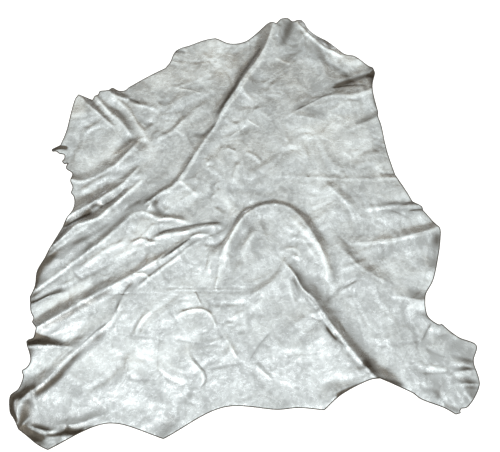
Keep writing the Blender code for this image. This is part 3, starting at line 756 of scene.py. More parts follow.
        Crease(((92, -126), (101, -134), (112, -146), (120, -157), (130, -172), (141, -189), (151, -204),
                (162, -218)), 0.4, 3.5, 0.30),
        Crease(((136, -190), (146, -202), (158, -214)), -0.5, 9, -0.20),
        Crease(((196, -244), (212, -264), (228, -284), (242, -304)), -0.3, 15, -0.24),
        # Painted shadow beside the lifted edge of the right rump.
        Crease(((146, -316), (163, -306), (182, -298), (204, -291)), -0.3, 8, -0.60),
        Crease(((64, -72), (76, -85), (84, -98), (89, -109), (96, -121), (106, -132), (120, -143)),
               0.5, 3.5, 0.40),
    ),
    "right side": (
        Crease(((112, 98), (112, 88)), 0.7, 4, 0),
        Crease(((176, 151), (188, 144), (202, 132)), 0.3, 3.5, 0.18),
        Crease(((240, 116), (266, 130)), 0.4, 4, 0.18),
        Crease(((262, 182), (262, 168)), -0.8, 8, -0.05),
        Crease(((265, 147), (265, 133)), -0.8, 8, -0.05),
        Crease(((245, 170), (245, 150)), -0.8, 8, -0.05),
        Crease(((205, 18), (220, 15)), 0.8, 5, 0.06),
        Crease(((245, -32), (248, -47), (247, -66)), -0.4, 6, -0.13),
        Crease(((140, -140), (150, -133), (175, -115), (195, -105)), -0.6, 4, -0.06),
        Crease(((246, 106), (265, 104), (292, 99)), -0.3, 4, -0.24),
        Crease(((255, 43), (276, 43), (298, 44), (330, 46)), -0.3, 5, -0.16),
        Crease(((218, 29), (240, 32), (262, 34), (298, 35), (328, 36)), 0.3, 3, 0.10),
        Crease(((262, 30), (288, 21), (300, 13)), -0.4, 4, -0.16),
        Crease(((298, 28), (314, 30), (330, 31)), -0.2, 3, -0.24),
        Crease(((190, -38), (230, -35), (254, -32), (276, -29), (296, -23), (320, -20), (350, -11)),
               0.4, 3, 0.08),
        Crease(((178, -40), (190, -55), (206, -74)), -0.4, 8, -0.15),
        Crease(((356, -6), (349, -32), (344, -56), (340, -92)), -0.3, 19, -0.19),
        Crease(((202, 208), (226, 216), (244, 222), (262, 231)), -0.2, 8, -0.18),
    ),
    "right leg": (
        Crease(((290, -126), (306, -130), (328, -137)), -0.4, 14, -0.16),
        Crease(((286, -148), (304, -151), (326, -157)), 0.6, 13, 0.16),
        Crease(((300, -164), (316, -168), (330, -174)), -0.6, 9, -0.15),
        Crease(((282, -134), (282, -176), (293, -192), (299, -213), (299, -242)), -0.6, 8, -0.15),
        Crease(((308, -217), (313, -208), (319, -197), (328, -182)), -0.5, 4, -0.22),
        Crease(((324, -190), (332, -194), (346, -197)), 0.5, 7, 0.16),
        Crease(((350, -196), (362, -205), (376, -214)), 0.4, 6, 0.16),
        Crease(((225, -227), (270, -220), (310, -215)), -0.4, 4, -0.10),
        Crease(((300, -272), (330, -273), (366, -270)), -0.3, 4, -0.14),
        Crease(((310, -226), (332, -239), (352, -246)), -0.3, 5, -0.14),
        Crease(((290, -246), (304, -258), (328, -264), (356, -268)), 0.6, 6, 0.16),
        Crease(((352, -222), (380, -230), (410, -240)), 0, 20, -0.13),
        Crease(((356, -240), (378, -247), (402, -254)), -0.4, 6, -0.14),
        Crease(((352, -252), (376, -256), (402, -262)), 0.6, 5, 0.18),
        Crease(((356, -266), (378, -264), (406, -262)), -0.4, 7, -0.14),
        Crease(((350, -278), (372, -275), (398, -274)), 0.4, 5, 0.14),
        Crease(((352, -283), (380, -286), (410, -290)), -0.4, 8, -0.14),
        Crease(((376, -295), (392, -296), (408, -297)), -0.3, 5, -0.12),
        Crease(((374, -302), (384, -312), (392, -322)), 0.5, 4, 0.18),
        Crease(((362, -302), (370, -312), (374, -324)), 0.4, 4, 0.14),
        Crease(((298, -304), (314, -302), (330, -308), (326, -318)), -0.6, 9, -0.17),
        Crease(((338, -326), (352, -332), (368, -338)), -0.3, 8, -0.18),
        Crease(((310, -190), (350, -240), (376, -300)), 0, 60, -0.05),
    ),
    "left foot": (
        Crease(((-438, -300), (-420, -312), (-404, -310), (-388, -302), (-370, -288)), -0.4, 12, -0.38),
        Crease(((-406, -296), (-390, -287), (-370, -276)), -0.3, 16, -0.12),
        Crease(((-420, -316), (-416, -335), (-407, -356)), -0.4, 10, -0.55),
        Crease(((-383, -312), (-391, -332), (-396, -350), (-402, -372)), -0.3, 21, -0.31),
        Crease(((-410, -360), (-394, -370), (-380, -375), (-366, -381), (-348, -387)), -0.3, 12, -0.38),
        Crease(((-382, -361), (-366, -363), (-346, -370)), -0.5, 8, -0.18),
        Crease(((-324, -366), (-312, -372), (-298, -374), (-284, -370)), -0.4, 13, -0.28),
        Crease(((-354, -375), (-338, -377), (-320, -375)), -0.4, 6, -0.26),
        Crease(((-318, -288), (-294, -310), (-268, -332), (-244, -350)), -0.6, 14, -0.08),
        Crease(((-406, -316), (-405, -332), (-402, -350)), 0.7, 4, 0.20),
        Crease(((-396, -319), (-378, -304), (-362, -290)), 0.7, 5, 0.14),
        Crease(((-403, -369), (-392, -358), (-380, -346)), 0.7, 4, 0.20),
        Crease(((-290, -300), (-250, -335)), 0.6, 6, 0.04),
        Crease(((-320, -272), (-300, -290)), 0.6, 6, 0.04),
        Crease(((-398, -322), (-375, -307), (-352, -290), (-331, -269), (-312, -247), (-289, -226),
                (-268, -207), (-248, -188)), -0.9, 11, -0.35),
        Crease(((-340, -253), (-328, -241), (-312, -229)), -0.4, 3, -0.20),
        Crease(((-302, -223), (-288, -209), (-272, -194), (-254, -180)), -0.4, 3, -0.22),
        Crease(((-414, -206), (-392, -210), (-374, -214), (-352, -218), (-322, -222)), -0.5, 15, -0.38),
        Crease(((-392, -262), (-394, -250), (-398, -236)), -0.4, 6, -0.16),
        Crease(((-218, -248), (-215, -266), (-211, -283)), -0.4, 3, -0.14),
        Crease(((-222, -282), (-190, -284), (-160, -284)), -0.15, 3, -0.12),
        Crease(((-396, -382), (-380, -390), (-360, -398)), -0.2, 6, -0.70),
    ),
    "painted light patches": (
        painted_light_patch(((-250, 298), (-150, 328), (-80, 348), (0, 352)), 55, 0.13),
        painted_light_patch(((-90, 405), (-60, 350), (-30, 320)), 38, 0.12),
        painted_light_patch(((-75, 215), (-45, 250), (-5, 305)), 20, -0.08),
        painted_light_patch(((70, 448), (80, 410), (92, 375), (102, 345)), 38, -0.17),
        painted_light_patch(((160, 376), (192, 358), (232, 334)), 21, 0.30),
        painted_light_patch(((120, 268), (165, 290), (215, 306)), 26, -0.10),
        painted_light_patch(((246, 345), (251, 298), (256, 232)), 18, -0.38),
        painted_light_patch(((50, 172), (140, 166), (248, 158)), 58, 0.19),
        painted_light_patch(((122, 125), (132, 60), (118, -15)), 42, 0.18),
        painted_light_patch(((235, 104), (275, 98), (315, 84)), 24, 0.15),
        painted_light_patch(((-90, 150), (-30, 155), (55, 155)), 35, 0.13),
        painted_light_patch(((-210, 215), (-200, 165), (-185, 110)), 26, 0.09),
        painted_light_patch(((-322, 122), (-284, 142), (-244, 172)), 24, 0.24),
        painted_light_patch(((-374, 292), (-354, 256), (-334, 218)), 28, 0.60),
        painted_light_patch(((-396, -78), (-352, -38), (-312, -6), (-276, 32)), 36, -0.17),
        painted_light_patch(((-335, -82), (-300, -50), (-262, -8), (-215, 36), (-145, 60)), 18, -0.17),
        painted_light_patch(((-285, -52), (-240, -34), (-195, 2)), 28, 0.11),
        painted_light_patch(((-140, -30), (-100, -28), (-60, -12)), 20, -0.07),
        painted_light_patch(((-24, 24), (-6, 4), (8, -18)), 18, -0.22),
        painted_light_patch(((-50, -88), (-110, -110), (-170, -152), (-240, -225)), 30, 0.14),
        painted_light_patch(((10, -70), (32, -98), (50, -125)), 26, 0.10),
        painted_light_patch(((-15, -210), (15, -190), (50, -170)), 28, 0.09),
        painted_light_patch(((66, -62), (104, -108), (150, -160), (190, -214), (232, -290)), 26, -0.17),
        painted_light_patch(((60, -212), (108, -245), (175, -292)), 30, 0.09),
        painted_light_patch(((-90, -295), (-20, -270), (50, -290)), 40, -0.07),
        painted_light_patch(((-318, -238), (-260, -244), (-205, -250), (-120, -248)), 44, 0.25),
        painted_light_patch(((-166, -405), (-148, -372), (-128, -336)), 28, -0.20),
        painted_light_patch(((-414, -360), (-345, -362), (-252, -352)), 40, -0.19),
        painted_light_patch(((-428, -340), (-412, -312), (-386, -290)), 22, -0.10),
        painted_light_patch(((-410, -194), (-394, -222), (-398, -256)), 20, -0.34),
        painted_light_patch(((-408, -204), (-372, -188), (-330, -166), (-285, -140), (-236, -110)), 15, -0.27),
        painted_light_patch(((-396, -166), (-340, -137), (-282, -103)), 14, 0.36),
        painted_light_patch(((225, 30), (290, 34), (352, 30)), 18, -0.14),
        painted_light_patch(((235, -48), (300, -36), (372, -24)), 18, -0.13),
        painted_light_patch(((190, -30), (235, -26), (285, -18)), 10, 0.10),
        painted_light_patch(((240, -80), (295, -94), (345, -106)), 26, 0.09),
        painted_light_patch(((315, -312), (368, -322), (410, -292)), 28, -0.11),
        painted_light_patch(((396, -326), (384, -284), (388, -236)), 20, -0.16),
        painted_light_patch(((-205, 292), (-120, 308), (-30, 320)), 30, 0.13),
        painted_light_patch(((-388, -66), (-340, -50), (-286, -30)), 24, -0.12),
        painted_light_patch(((-110, -110), (-112, -175), (-132, -250)), 34, 0.12),
        painted_light_patch(((282, -258), (310, -278), (348, -302)), 20, -0.16),
        painted_light_patch(((-392, -312), (-366, -294), (-338, -266), (-308, -236), (-278, -206), (-248, -180)),
             7, -0.10),
        painted_light_patch(((-266, -290), (-254, -326), (-250, -362)), 20, -0.11),
        painted_light_patch(((-168, 56), (-128, 92), (-100, 132), (-72, 180), (-36, 240)), 14, -0.13),
        painted_light_patch(((-248, -74), (-215, -30), (-180, 20)), 20, 0.17),
        painted_light_patch(((-172, -62), (-138, -50), (-98, -26)), 15, -0.11),
        painted_light_patch(((-238, -114), (-205, -106), (-176, -98)), 14, -0.13),
        painted_light_patch(((-384, -66), (-397, -102), (-402, -154)), 14, -0.30),
        painted_light_patch(((-350, -226), (-300, -194), (-250, -164)), 14, 0.16),
        painted_light_patch(((-408, -266), (-350, -250), (-312, -240)), 20, 0.18),
        painted_light_patch(((-378, -320), (-352, -300), (-322, -272)), 12, -0.15),
        painted_light_patch(((-392, -378), (-352, -402), (-318, -396)), 20, -0.24),
        painted_light_patch(((96, 198), (150, 202), (212, 226)), 26, 0.20),
        painted_light_patch(((84, 247), (124, 236), (156, 222)), 11, -0.16),
        painted_light_patch(((134, 358), (168, 333), (206, 306)), 12, -0.13),
        painted_light_patch(((144, 418), (142, 385), (132, 340)), 20, -0.16),
        painted_light_patch(((72, 324), (92, 288), (116, 256)), 20, 0.13),
        painted_light_patch(((74, -76), (96, -118), (122, -156), (142, -188)), 14, -0.18),
        painted_light_patch(((104, -46), (128, -60), (152, -74)), 16, 0.14),
        painted_light_patch(((314, -156), (324, -178), (348, -204)), 15, -0.12),
        painted_light_patch(((-150, 394), (-95, 402), (-50, 396)), 22, 0.13),
        painted_light_patch(((-338, 22), (-290, 38), (-240, 50), (-160, 66)), 22, -0.17),
        painted_light_patch(((-304, 94), (-255, 102), (-210, 110)), 18, -0.10),
        painted_light_patch(((196, -294), (222, -287), (252, -289), (278, -298)), 10, -0.34),
        painted_light_patch(((-410, -204), (-392, -208), (-374, -213), (-358, -217)), 14, -0.34),
    ),
}


@dataclass(frozen=True)
class Waves:
    """Slight waviness of a sheet that has been rolled and handled: seeded plane waves.

    Each row is (length of the waves, their height), with COUNT waves of about that length, from
    the first of LENGTHS times it to the second. Each row's waves bend the next row's.
    """

    SEED = 7
    COUNT = 22
    LENGTHS = (0.75, 1.35)
    BEND = 0.12

    rows: tuple[Point, ...] = ((150, 0.8), (75, 0.42), (38, 0.24), (19, 0.09))

    def lift(self, points: np.ndarray) -> np.ndarray:
        """The height that the waves give.

        Args:
            points: Plan points in millimetres, one a row.

        Returns:
            A height for each point, above 0 or below.
        """
        random = np.random.default_rng(self.SEED)
        lift = np.zeros(len(points))
        warped = points.astype(float).copy()
        for length, height in self.rows:
            heading = random.uniform(0, math.tau, self.COUNT)
            pitch = math.tau / (length * random.uniform(*self.LENGTHS, self.COUNT))
            phase = random.uniform(0, math.tau, self.COUNT)
            swing = warped @ np.vstack([np.cos(heading), np.sin(heading)]) * pitch + phase
            lift += height * np.sin(swing).sum(1) / math.sqrt(self.COUNT / 2)
            bend = np.column_stack([np.sin(swing[:, 0]), np.sin(swing[:, 1])])
            warped += self.BEND * length * bend
        return lift


@dataclass(frozen=True)
class Relief:
    """The height of the grain side and its tone of painted light and shade, from the folds, the creases and
    the waves.

    loft lifts the whole sheet, so that its troughs stay clear of the floor. The blends set how
    softly two folds join, and how softly the sheet comes down to the floor. lip_highlight_tone is
    the painted highlight that a lip of one millimetre gains.
    """

    thickness: float = 1.2
    loft: float = 2.0
    ridge_blend: float = 4.0
    floor_blend: float = 0.5
    lip_highlight_tone: float = 0.16
    waves: Waves = Waves()

    def read(self, points: np.ndarray) -> tuple[np.ndarray, np.ndarray]:
        """Measure the grain side.

        Args:
            points: Plan points in millimetres, one a row.

        Returns:
            The height of each point over the floor, and its tone of painted light and shade.
        """
        lift, tone = np.zeros(len(points)), np.zeros(len(points))
        for fold in FOLDS.values():
            height, lip_highlight = fold.shape(points)
            lift += height**self.ridge_blend
            # Painted highlight along the lips of the folds.
            tone = np.maximum(tone, self.lip_highlight_tone * lip_highlight)
        lift = lift ** (1 / self.ridge_blend) + self.loft + self.waves.lift(points)
        # Creases and patches add painted light and shade to the tone.
        for crease in (crease for group in CREASES.values() for crease in group):
            near, mark = crease.mark(points)
            lift[near] += crease.height * mark
            tone[near] += crease.tone * mark
        lift = (lift + np.sqrt(lift**2 + self.floor_blend**2)) / 2
        return self.thickness + lift, tone


@dataclass(frozen=True)
class Spacing:
    """How far apart the points of the mesh are, in millimetres.

    crowding is the share of a spacing within which an added point is left out.
    """

    grid: float = 2.75
    edge: float = 2.6
    crest: float = 2.6
    flesh: float = 8.0
    crowding: float = 0.62


@dataclass(frozen=True)
class Noise:
    """A noise pattern: repeats a metre, octaves, how strong the fine ones are, and its bend."""

    scale: float
    detail: float
    roughness: float = 0.6
    distortion: float = 0.0


class Graph:
    """A small helper that adds nodes to a tree and links them."""

    # A mix node's sockets when it mixes colours: its factor and the two colours, and its result.
    MIX_INPUTS = (0, 6, 7)
    MIX_RESULT = 2

    def __init__(self, tree: NodeTree) -> None:
        """Take the tree to add to."""
        self.tree = tree

    def add(self, kind: str, **settings: object) -> Node:
        """Add a node and set its properties.

        Args:
            kind: The node's type.
            settings: Values by the names of its properties.

        Returns:
            The node.
        """
        node = self.tree.nodes.new(kind)
        for name, value in settings.items():
            setattr(node, name, value)
        return node

    def feed(self, target: NodeSocket, value: object) -> None:
        """Link a socket to another, or give it a plain value.

        Args:
            target: The socket to feed.
            value: Another socket, or the value.
        """
        if isinstance(value, NodeSocket):
            self.tree.links.new(value, target)
        else:
            target.default_value = value

    def feed_all(self, node: Node, values: tuple) -> Node:
        """Feed a node's first sockets in order.

        Args:
            node: The node to feed.
            values: Sockets or plain values, one for each socket.

        Returns:
            The same node.
        """
        for socket, value in zip(node.inputs, values):
            self.feed(socket, value)
        return node

    def math(self, operation: str, *values: object, clamp: bool = False) -> NodeSocket:
        """One arithmetic step."""
        node = self.add("ShaderNodeMath", operation=operation, use_clamp=clamp)
        return self.feed_all(node, values).outputs[0]

    def vector(self, operation: str, *values: object, output: str = "Vector") -> NodeSocket:
        """One step with vectors."""
        node = self.add("ShaderNodeVectorMath", operation=operation)
        return self.feed_all(node, values).outputs[output]

    def remap(self, value: object, given: Point, wanted: Point = (0, 1)) -> NodeSocket:
        """Map a range of values smoothly onto another."""
        node = self.add("ShaderNodeMapRange", interpolation_type="SMOOTHSTEP")
        return self.feed_all(node, (value, *given, *wanted)).outputs[0]

    def blend(self, factor: object, first: object, second: object) -> NodeSocket:
        """Mix two colours.

        Args:
            factor: 0 for the first colour, 1 for the second.
            first: The first colour.
            second: The second colour.

        Returns:
            The mixed colour.
        """
        node = self.add("ShaderNodeMix", data_type="RGBA")
        for socket, value in zip(self.MIX_INPUTS, (factor, first, second)):
            self.feed(node.inputs[socket], value)
        return node.outputs[self.MIX_RESULT]


class Recipe(Graph):
    """One material, written as nodes around its Principled BSDF."""

    def __init__(self, name: str) -> None:
        """Start a material."""
        self.material = bpy.data.materials.new(name)
        self.material.use_nodes = True
        super().__init__(self.material.node_tree)
        self.shader = self.tree.nodes["Principled BSDF"]
        self.place = self.add("ShaderNodeTexCoord").outputs["Object"]

    def give(self, name: str, value: object) -> None:
        """Give the surface one of its properties."""
        self.feed(self.shader.inputs[name], value)

    def noise(self, kind: Noise) -> NodeSocket:
        """A noise over the object's own coordinates.

        Args:
            kind: What noise it is.

        Returns:
            Its value, from 0 to 1.
        """
        node = self.add("ShaderNodeTexNoise")
        self.feed(node.inputs["Vector"], self.place)
        self.feed(node.inputs["Scale"], kind.scale)
        self.feed(node.inputs["Detail"], kind.detail)
        self.feed(node.inputs["Roughness"], kind.roughness)
        self.feed(node.inputs["Distortion"], kind.distortion)
        return node.outputs["Fac"]

    def crackle(self, kind: Noise, width: float) -> NodeSocket:
        """Thin wandering lines, 1 on the line and 0 off it: where a noise crosses its middle."""
        gap = self.math("ABSOLUTE", self.math("SUBTRACT", self.noise(kind), 0.5))
        return self.remap(gap, (0, width), (1, 0))

    def bump(self, height: NodeSocket, distance: float) -> None:
        """Raise the surface in looks only.

        Args:
            height: How high it stands.
            distance: The unit of that height, in metres.
        """
        node = self.add("ShaderNodeBump")
        self.feed(node.inputs["Height"], height)
        self.feed(node.inputs["Distance"], distance)
        self.feed(node.inputs["Strength"], 1.0)
        self.give("Normal", node.outputs["Normal"])


@dataclass(frozen=True)
class Layer:
    """One scale of the foil's unevenness.

    spread is the stretch of the noise that counts, shade how far that darkens and brightens the
    foil, and relief how high it stands in the bump.
    """

    noise: Noise
    spread: Point
    shade: Point
    relief: float


@dataclass(frozen=True)
class SilverFoil:
    """The grain side: cloudy silver foil, finely creased.

    Its shade runs from 0, dull, to 1, bright. The mesh's tone is painted light and shade, and
    tone_shade is how much of it counts as shade; tones from the first of shadow_tones to the second
    turn the foil into shadow_brown, the dark brown of painted shadow.
    Thin wandering lines mark it where the noise of lined_area is high. relief_depth is the unit
    of every relief here, in metres.
    """

    dull: Colour = (0.50, 0.507, 0.507, 1)
    bright: Colour = (0.98, 1.0, 1.0, 1)
    shadow_brown: Colour = (0.115, 0.098, 0.08, 1)
    shadow_tones: Point = (-0.08, -0.42)
    tone_shade: float = 2.2
    metallic: float = 1.0
    roughness: Point = (0.34, 0.24)
    roughness_spread: Point = (0.35, 0.65)
    cloud: Layer = Layer(Noise(34, 4, 0.6, 0.6), (0.3, 0.7), (-0.07, 0.33), 1.2)
    patch: Layer = Layer(Noise(125, 5, 0.66, 0.3), (0.36, 0.64), (0, 0.28), 0.9)
    fleck: Layer = Layer(Noise(260, 4, 0.65), (0.3, 0.7), (-0.08, 0.08), 0.22)
    pores: Noise = Noise(1100, 2)
    pore_relief: float = 0.06
    line: Noise = Noise(17, 1, 0.5, 0.4)
    line_width: float = 0.006
    line_shade: float = -0.2
    line_relief: float = -0.2
    lined_area: Noise = Noise(11, 2)
    lined_spread: Point = (0.5, 0.62)
    relief_depth: float = 0.0006

    def make(self) -> Material:
        """Write the material's nodes.

        Returns:
            The material.
        """
        recipe = Recipe("silver foil leather")
        shade, relief = 0.0, 0.0
        values = {}
        for layer in (self.cloud, self.patch, self.fleck):
            value = recipe.noise(layer.noise)
            shade = recipe.math("ADD", shade, recipe.remap(value, layer.spread, layer.shade))
            relief = recipe.math("MULTIPLY_ADD", value, layer.relief, relief)
            values[layer] = value
        lined = recipe.remap(recipe.noise(self.lined_area), self.lined_spread)
        lines = recipe.math("MULTIPLY", recipe.crackle(self.line, self.line_width), lined)
        tone = recipe.add("ShaderNodeAttribute", attribute_name=TONE).outputs["Fac"]
        # The tone adds painted light and shade to the foil.
        shade = recipe.math("MULTIPLY_ADD", tone, self.tone_shade, shade)
        shade = recipe.math("MULTIPLY_ADD", lines, self.line_shade, shade, clamp=True)
        foil = recipe.blend(shade, self.dull, self.bright)
        # Low tones darken the foil to the brown of painted shadow.
        recipe.give("Base Color", recipe.blend(recipe.remap(tone, self.shadow_tones), foil, self.shadow_brown))
        recipe.give("Metallic", self.metallic)
        rough = recipe.remap(values[self.patch], self.roughness_spread, self.roughness)
        recipe.give("Roughness", rough)
        relief = recipe.math("MULTIPLY_ADD", lines, self.line_relief, relief)
        relief = recipe.math("MULTIPLY_ADD", recipe.noise(self.pores), self.pore_relief, relief)
        recipe.bump(relief, self.relief_depth)
        return recipe.material


@dataclass(frozen=True)
class Suede:
    """The flesh side: plain pale suede, mottled, with a short nap."""

    nap: Colour = (0.50, 0.44, 0.37, 1)
    pale: Colour = (0.64, 0.585, 0.51, 1)
    spread: Point = (0.35, 0.75)
    roughness: float = 0.92
    patch: Noise = Noise(30, 6, 0.65)
    patch_share: float = 0.7
    fibre: Noise = Noise(1400, 3, 0.7)
    fibre_share: float = 0.4
    relief_depth: float = 0.0004

    def make(self) -> Material:
        """Write the material's nodes.

        Returns:
            The material.
        """
        recipe = Recipe("suede flesh side")
        fibre = recipe.math("MULTIPLY", recipe.noise(self.fibre), self.fibre_share)
        shade = recipe.math("MULTIPLY_ADD", recipe.noise(self.patch), self.patch_share, fibre)
        colour = recipe.blend(recipe.remap(shade, self.spread), self.nap, self.pale)
        recipe.give("Base Color", colour)
        recipe.give("Roughness", self.roughness)
        recipe.bump(shade, self.relief_depth)
        return recipe.material


@dataclass(frozen=True)
class RawEdge:
    """The cut edge: dark, dry leather. Its colour also covers the grain's dark edge band, partly as painted
    shade.
    """

    dark: Colour = (0.035, 0.028, 0.022, 1)
    light: Colour = (0.10, 0.083, 0.066, 1)
    spread: Point = (0.35, 0.65)
    roughness: float = 0.85
    fibre: Noise = Noise(260, 4, 0.7)
    relief_depth: float = 0.0003

    def make(self) -> Material:
        """Write the material's nodes.

        Returns:
            The material.
        """
        recipe = Recipe("raw cut edge")
        fibre = recipe.noise(self.fibre)
        colour = recipe.blend(recipe.remap(fibre, self.spread), self.dark, self.light)
        recipe.give("Base Color", colour)
        recipe.give("Roughness", self.roughness)
        recipe.bump(fibre, self.relief_depth)
        return recipe.material


@dataclass
class Hide:
    """dark_edge_band is how wide the raw edge's dark colour runs round the foil on the grain side,
    partly the real cut edge and partly painted shade along the edge, and cut_drop how far the grain
    falls at it. flat and flat_area are the size of the sheet as cut, in metres and square metres.
    """

    # How many places around a point of the flesh side are felt for the lowest grain.
    PROBES = 6
    # Plan points nearer than this, in millimetres, count as one.
    MERGE = 1e-5
    # A border point nearer the cut edge than this share of the dark edge band is left out.
    BORDER_ROOM = 0.8
    # The rows of a grid of even triangles lie this share of a step apart.
    ROW_PITCH = math.sqrt(0.75)

    name: str = "leather_hide"
    relief: Relief = Relief()
    spacing: Spacing = Spacing()
    dark_edge_band: float = 1.9
    cut_drop: float = 0.35
    sharp_angle: float = math.radians(60)
    flat: Point = (0.84, 0.85)
    flat_area: float = 0.50

    def cut_loop(self) -> np.ndarray:
        """The closed cut edge, with its corners kept.

        Returns:
            Evenly spaced plan points, clockwise.
        """
        stretches = list(CUT_LINE.values())
        loop = []
        for stretch, following in zip(stretches, stretches[1:] + stretches[:1]):
            loop.append(smooth_curve((*stretch, following[0]), self.spacing.edge)[:-1])
        return np.vstack(loop)

    def bordered(self, loop: np.ndarray) -> np.ndarray:
        """The cut edge, then the foil's own border, a dark edge band's width within it.

        Args:
            loop: The points of the cut edge, clockwise.

        Returns:
            The points of both, those of the cut edge first.
        """
        heading = np.roll(loop, -1, axis=0) - np.roll(loop, 1, axis=0)
        heading /= np.linalg.norm(heading, axis=1)[:, None]
        inward = np.column_stack([heading[:, 1], -heading[:, 0]])
        border = loop + inward * self.dark_edge_band
        return self.thinned(loop, border[inside(border, loop)], self.dark_edge_band * self.BORDER_ROOM)

    def crest_rows(self) -> np.ndarray:
        """Points along every fold and crease, in rows beside the crest, so that it is clean.

        Returns:
            The points, one a row.
        """
        paths = [fold.crest for fold in FOLDS.values()]
        paths += [crease.path for group in CREASES.values() for crease in group]
        rows = []
        for path in paths:
            row = smooth_curve(path, self.spacing.crest)
            heading = np.gradient(row, axis=0)
            heading /= np.linalg.norm(heading, axis=1)[:, None]
            aside = np.column_stack([-heading[:, 1], heading[:, 0]]) * self.spacing.crest
            rows += [row, row + aside, row - aside]
        return np.vstack(rows)

    def grid(self, loop: np.ndarray, step: float) -> np.ndarray:
        """A staggered grid within the cut edge.

        Args:
            loop: The points of the cut edge.
            step: The spacing of the grid.

        Returns:
            The points, one a row.
        """
        low, high = loop.min(0), loop.max(0)
        rows = []
        for index, y in enumerate(np.arange(low[1], high[1], step * self.ROW_PITCH)):
            x = np.arange(low[0] + (index % 2) * step / 2, high[0], step)
            rows.append(np.column_stack([x, np.full_like(x, y)]))
        grid = np.vstack(rows)
        return grid[inside(grid, loop)]

    def thinned(self, kept: np.ndarray, added: np.ndarray, gap: float) -> np.ndarray:
        """Join two sets of points, leaving out added points that crowd the kept ones.

        Args:
            kept: Points that all stay.
            added: Points that stay where there is room.
            gap: How far an added point has to be from every kept one.

        Returns:
            The points of both sets, the kept ones first.
        """
        tree = KDTree(len(kept))
        for index, (x, y) in enumerate(kept.tolist()):
            tree.insert((x, y, 0), index)
        tree.balance()
        free = [tree.find((x, y, 0))[2] > gap for x, y in added.tolist()]
        return np.vstack([kept, added[np.array(free, bool)]])

    def triangulated(self, points: np.ndarray, rim: int) -> tuple[np.ndarray, np.ndarray]:
        """Triangulate plan points within the cut edge.

        Args:
            points: The points, those of the cut edge first.
            rim: How many of them lie on the cut edge.

        Returns:
            The points, and the triangles counter-clockwise.
        """
        ring = list(range(rim))[::-1]
        corners = [Vector(point) for point in points.tolist()]
        joined = delaunay_2d_cdt(corners, [], [ring], 1, self.MERGE)
        return np.array([tuple(point) for point in joined[0]]), np.array(joined[2])

    def grain_plan(self, loop: np.ndarray) -> tuple[np.ndarray, np.ndarray]:
        """The fine plan of the grain side, with points along the foil's border and the crests.

        Args:
            loop: The points of the cut edge.

        Returns:
            The points, those of the cut edge first, and the triangles.
        """
        crests = self.crest_rows()
        crests = crests[inside(crests, loop)]
        spacing = self.spacing
        points = self.thinned(self.bordered(loop), crests, spacing.crest * spacing.crowding)
        grid = self.grid(loop, spacing.grid)
        points = self.thinned(points, grid, spacing.grid * spacing.crowding)
        return self.triangulated(points, len(loop))

    def flesh_plan(self, loop: np.ndarray) -> tuple[np.ndarray, np.ndarray]:
        """The coarse plan of the flesh side.

        Args:
            loop: The points of the cut edge.

        Returns:
            The points, those of the cut edge first, and the triangles.
        """
        step = self.spacing.flesh
        grid = self.grid(loop, step)
        points = self.thinned(self.bordered(loop), grid, step * self.spacing.crowding)
        return self.triangulated(points, len(loop))

    def flesh_height(self, plan: np.ndarray, rim: int) -> np.ndarray:
        """The height of the flesh side: under the lowest grain around each point.

        Args:
            plan: Plan points of the flesh side, those of the cut edge first.
            rim: How many of them lie on the cut edge.

        Returns:
            The heights, one a point.
        """
        lowest = self.relief.read(plan)[0]
        for turn in range(self.PROBES):
            angle = turn * math.tau / self.PROBES
            offset = np.array([math.cos(angle), math.sin(angle)]) * self.spacing.flesh / 2
            lowest[rim:] = np.minimum(lowest[rim:], self.relief.read(plan[rim:] + offset)[0])
        return lowest - self.relief.thickness

    def cut_faces(self, rim: int, below: int) -> np.ndarray:
        """The wall of the cut, two triangles for each step of the cut edge.

        Args:
            rim: How many points lie on the cut edge.
            below: How far on in the list their partners on the flesh side start.

        Returns:
            The triangles.
        """
        here = np.arange(rim)
        after = (here + 1) % rim
        return np.vstack([
            np.column_stack([here, after, after + below]),
            np.column_stack([here, after + below, here + below]),
        ])

    def mesh(self) -> Mesh:
        """The closed sheet: grain side, flesh side, and the cut between them.

        Returns:
            The mesh in metres, with its sides as material slots and its tone of painted light and shade as
            an attribute.
        """
        loop = self.cut_loop()
        rim = len(loop)
        plan, grain_faces = self.grain_plan(loop)
        under_plan, flesh_faces = self.flesh_plan(loop)
        height, tone = self.relief.read(plan)
        height[:rim] -= self.cut_drop
        grain = np.column_stack([plan, height])
        flesh = np.column_stack([under_plan, self.flesh_height(under_plan, rim)])
        vertices = np.vstack([grain, flesh])
        middle = (vertices.min(0) + vertices.max(0)) / 2
        vertices[:, :2] -= middle[:2]
        vertices[:, 2] -= vertices[:, 2].min()

        cut_faces = self.cut_faces(rim, len(plan))
        faces = np.vstack([grain_faces, flesh_faces[:, ::-1] + len(plan), cut_faces])
        # Grain faces on the cut edge take the raw edge's dark colour: partly the real cut edge, partly
        # painted shade along the edge.
        sides = np.concatenate([
            np.where((grain_faces < rim).any(1), int(Side.CUT), int(Side.GRAIN)),
            np.full(len(flesh_faces), int(Side.FLESH)),
            np.full(len(cut_faces), int(Side.CUT)),
        ])

        mesh = bpy.data.meshes.new(self.name)
        mesh.from_pydata((vertices * METRES).tolist(), [], faces.tolist())
        mesh.polygons.foreach_set("material_index", sides.astype(np.int32))
        layer = mesh.attributes.new(TONE, "FLOAT", "POINT")
        tones = np.concatenate([tone, np.zeros(len(flesh))])
        layer.data.foreach_set("value", tones.astype(np.float32))
        mesh.update()
        mesh.shade_smooth()
        mesh.set_sharp_from_angle(angle=self.sharp_angle)
        return mesh

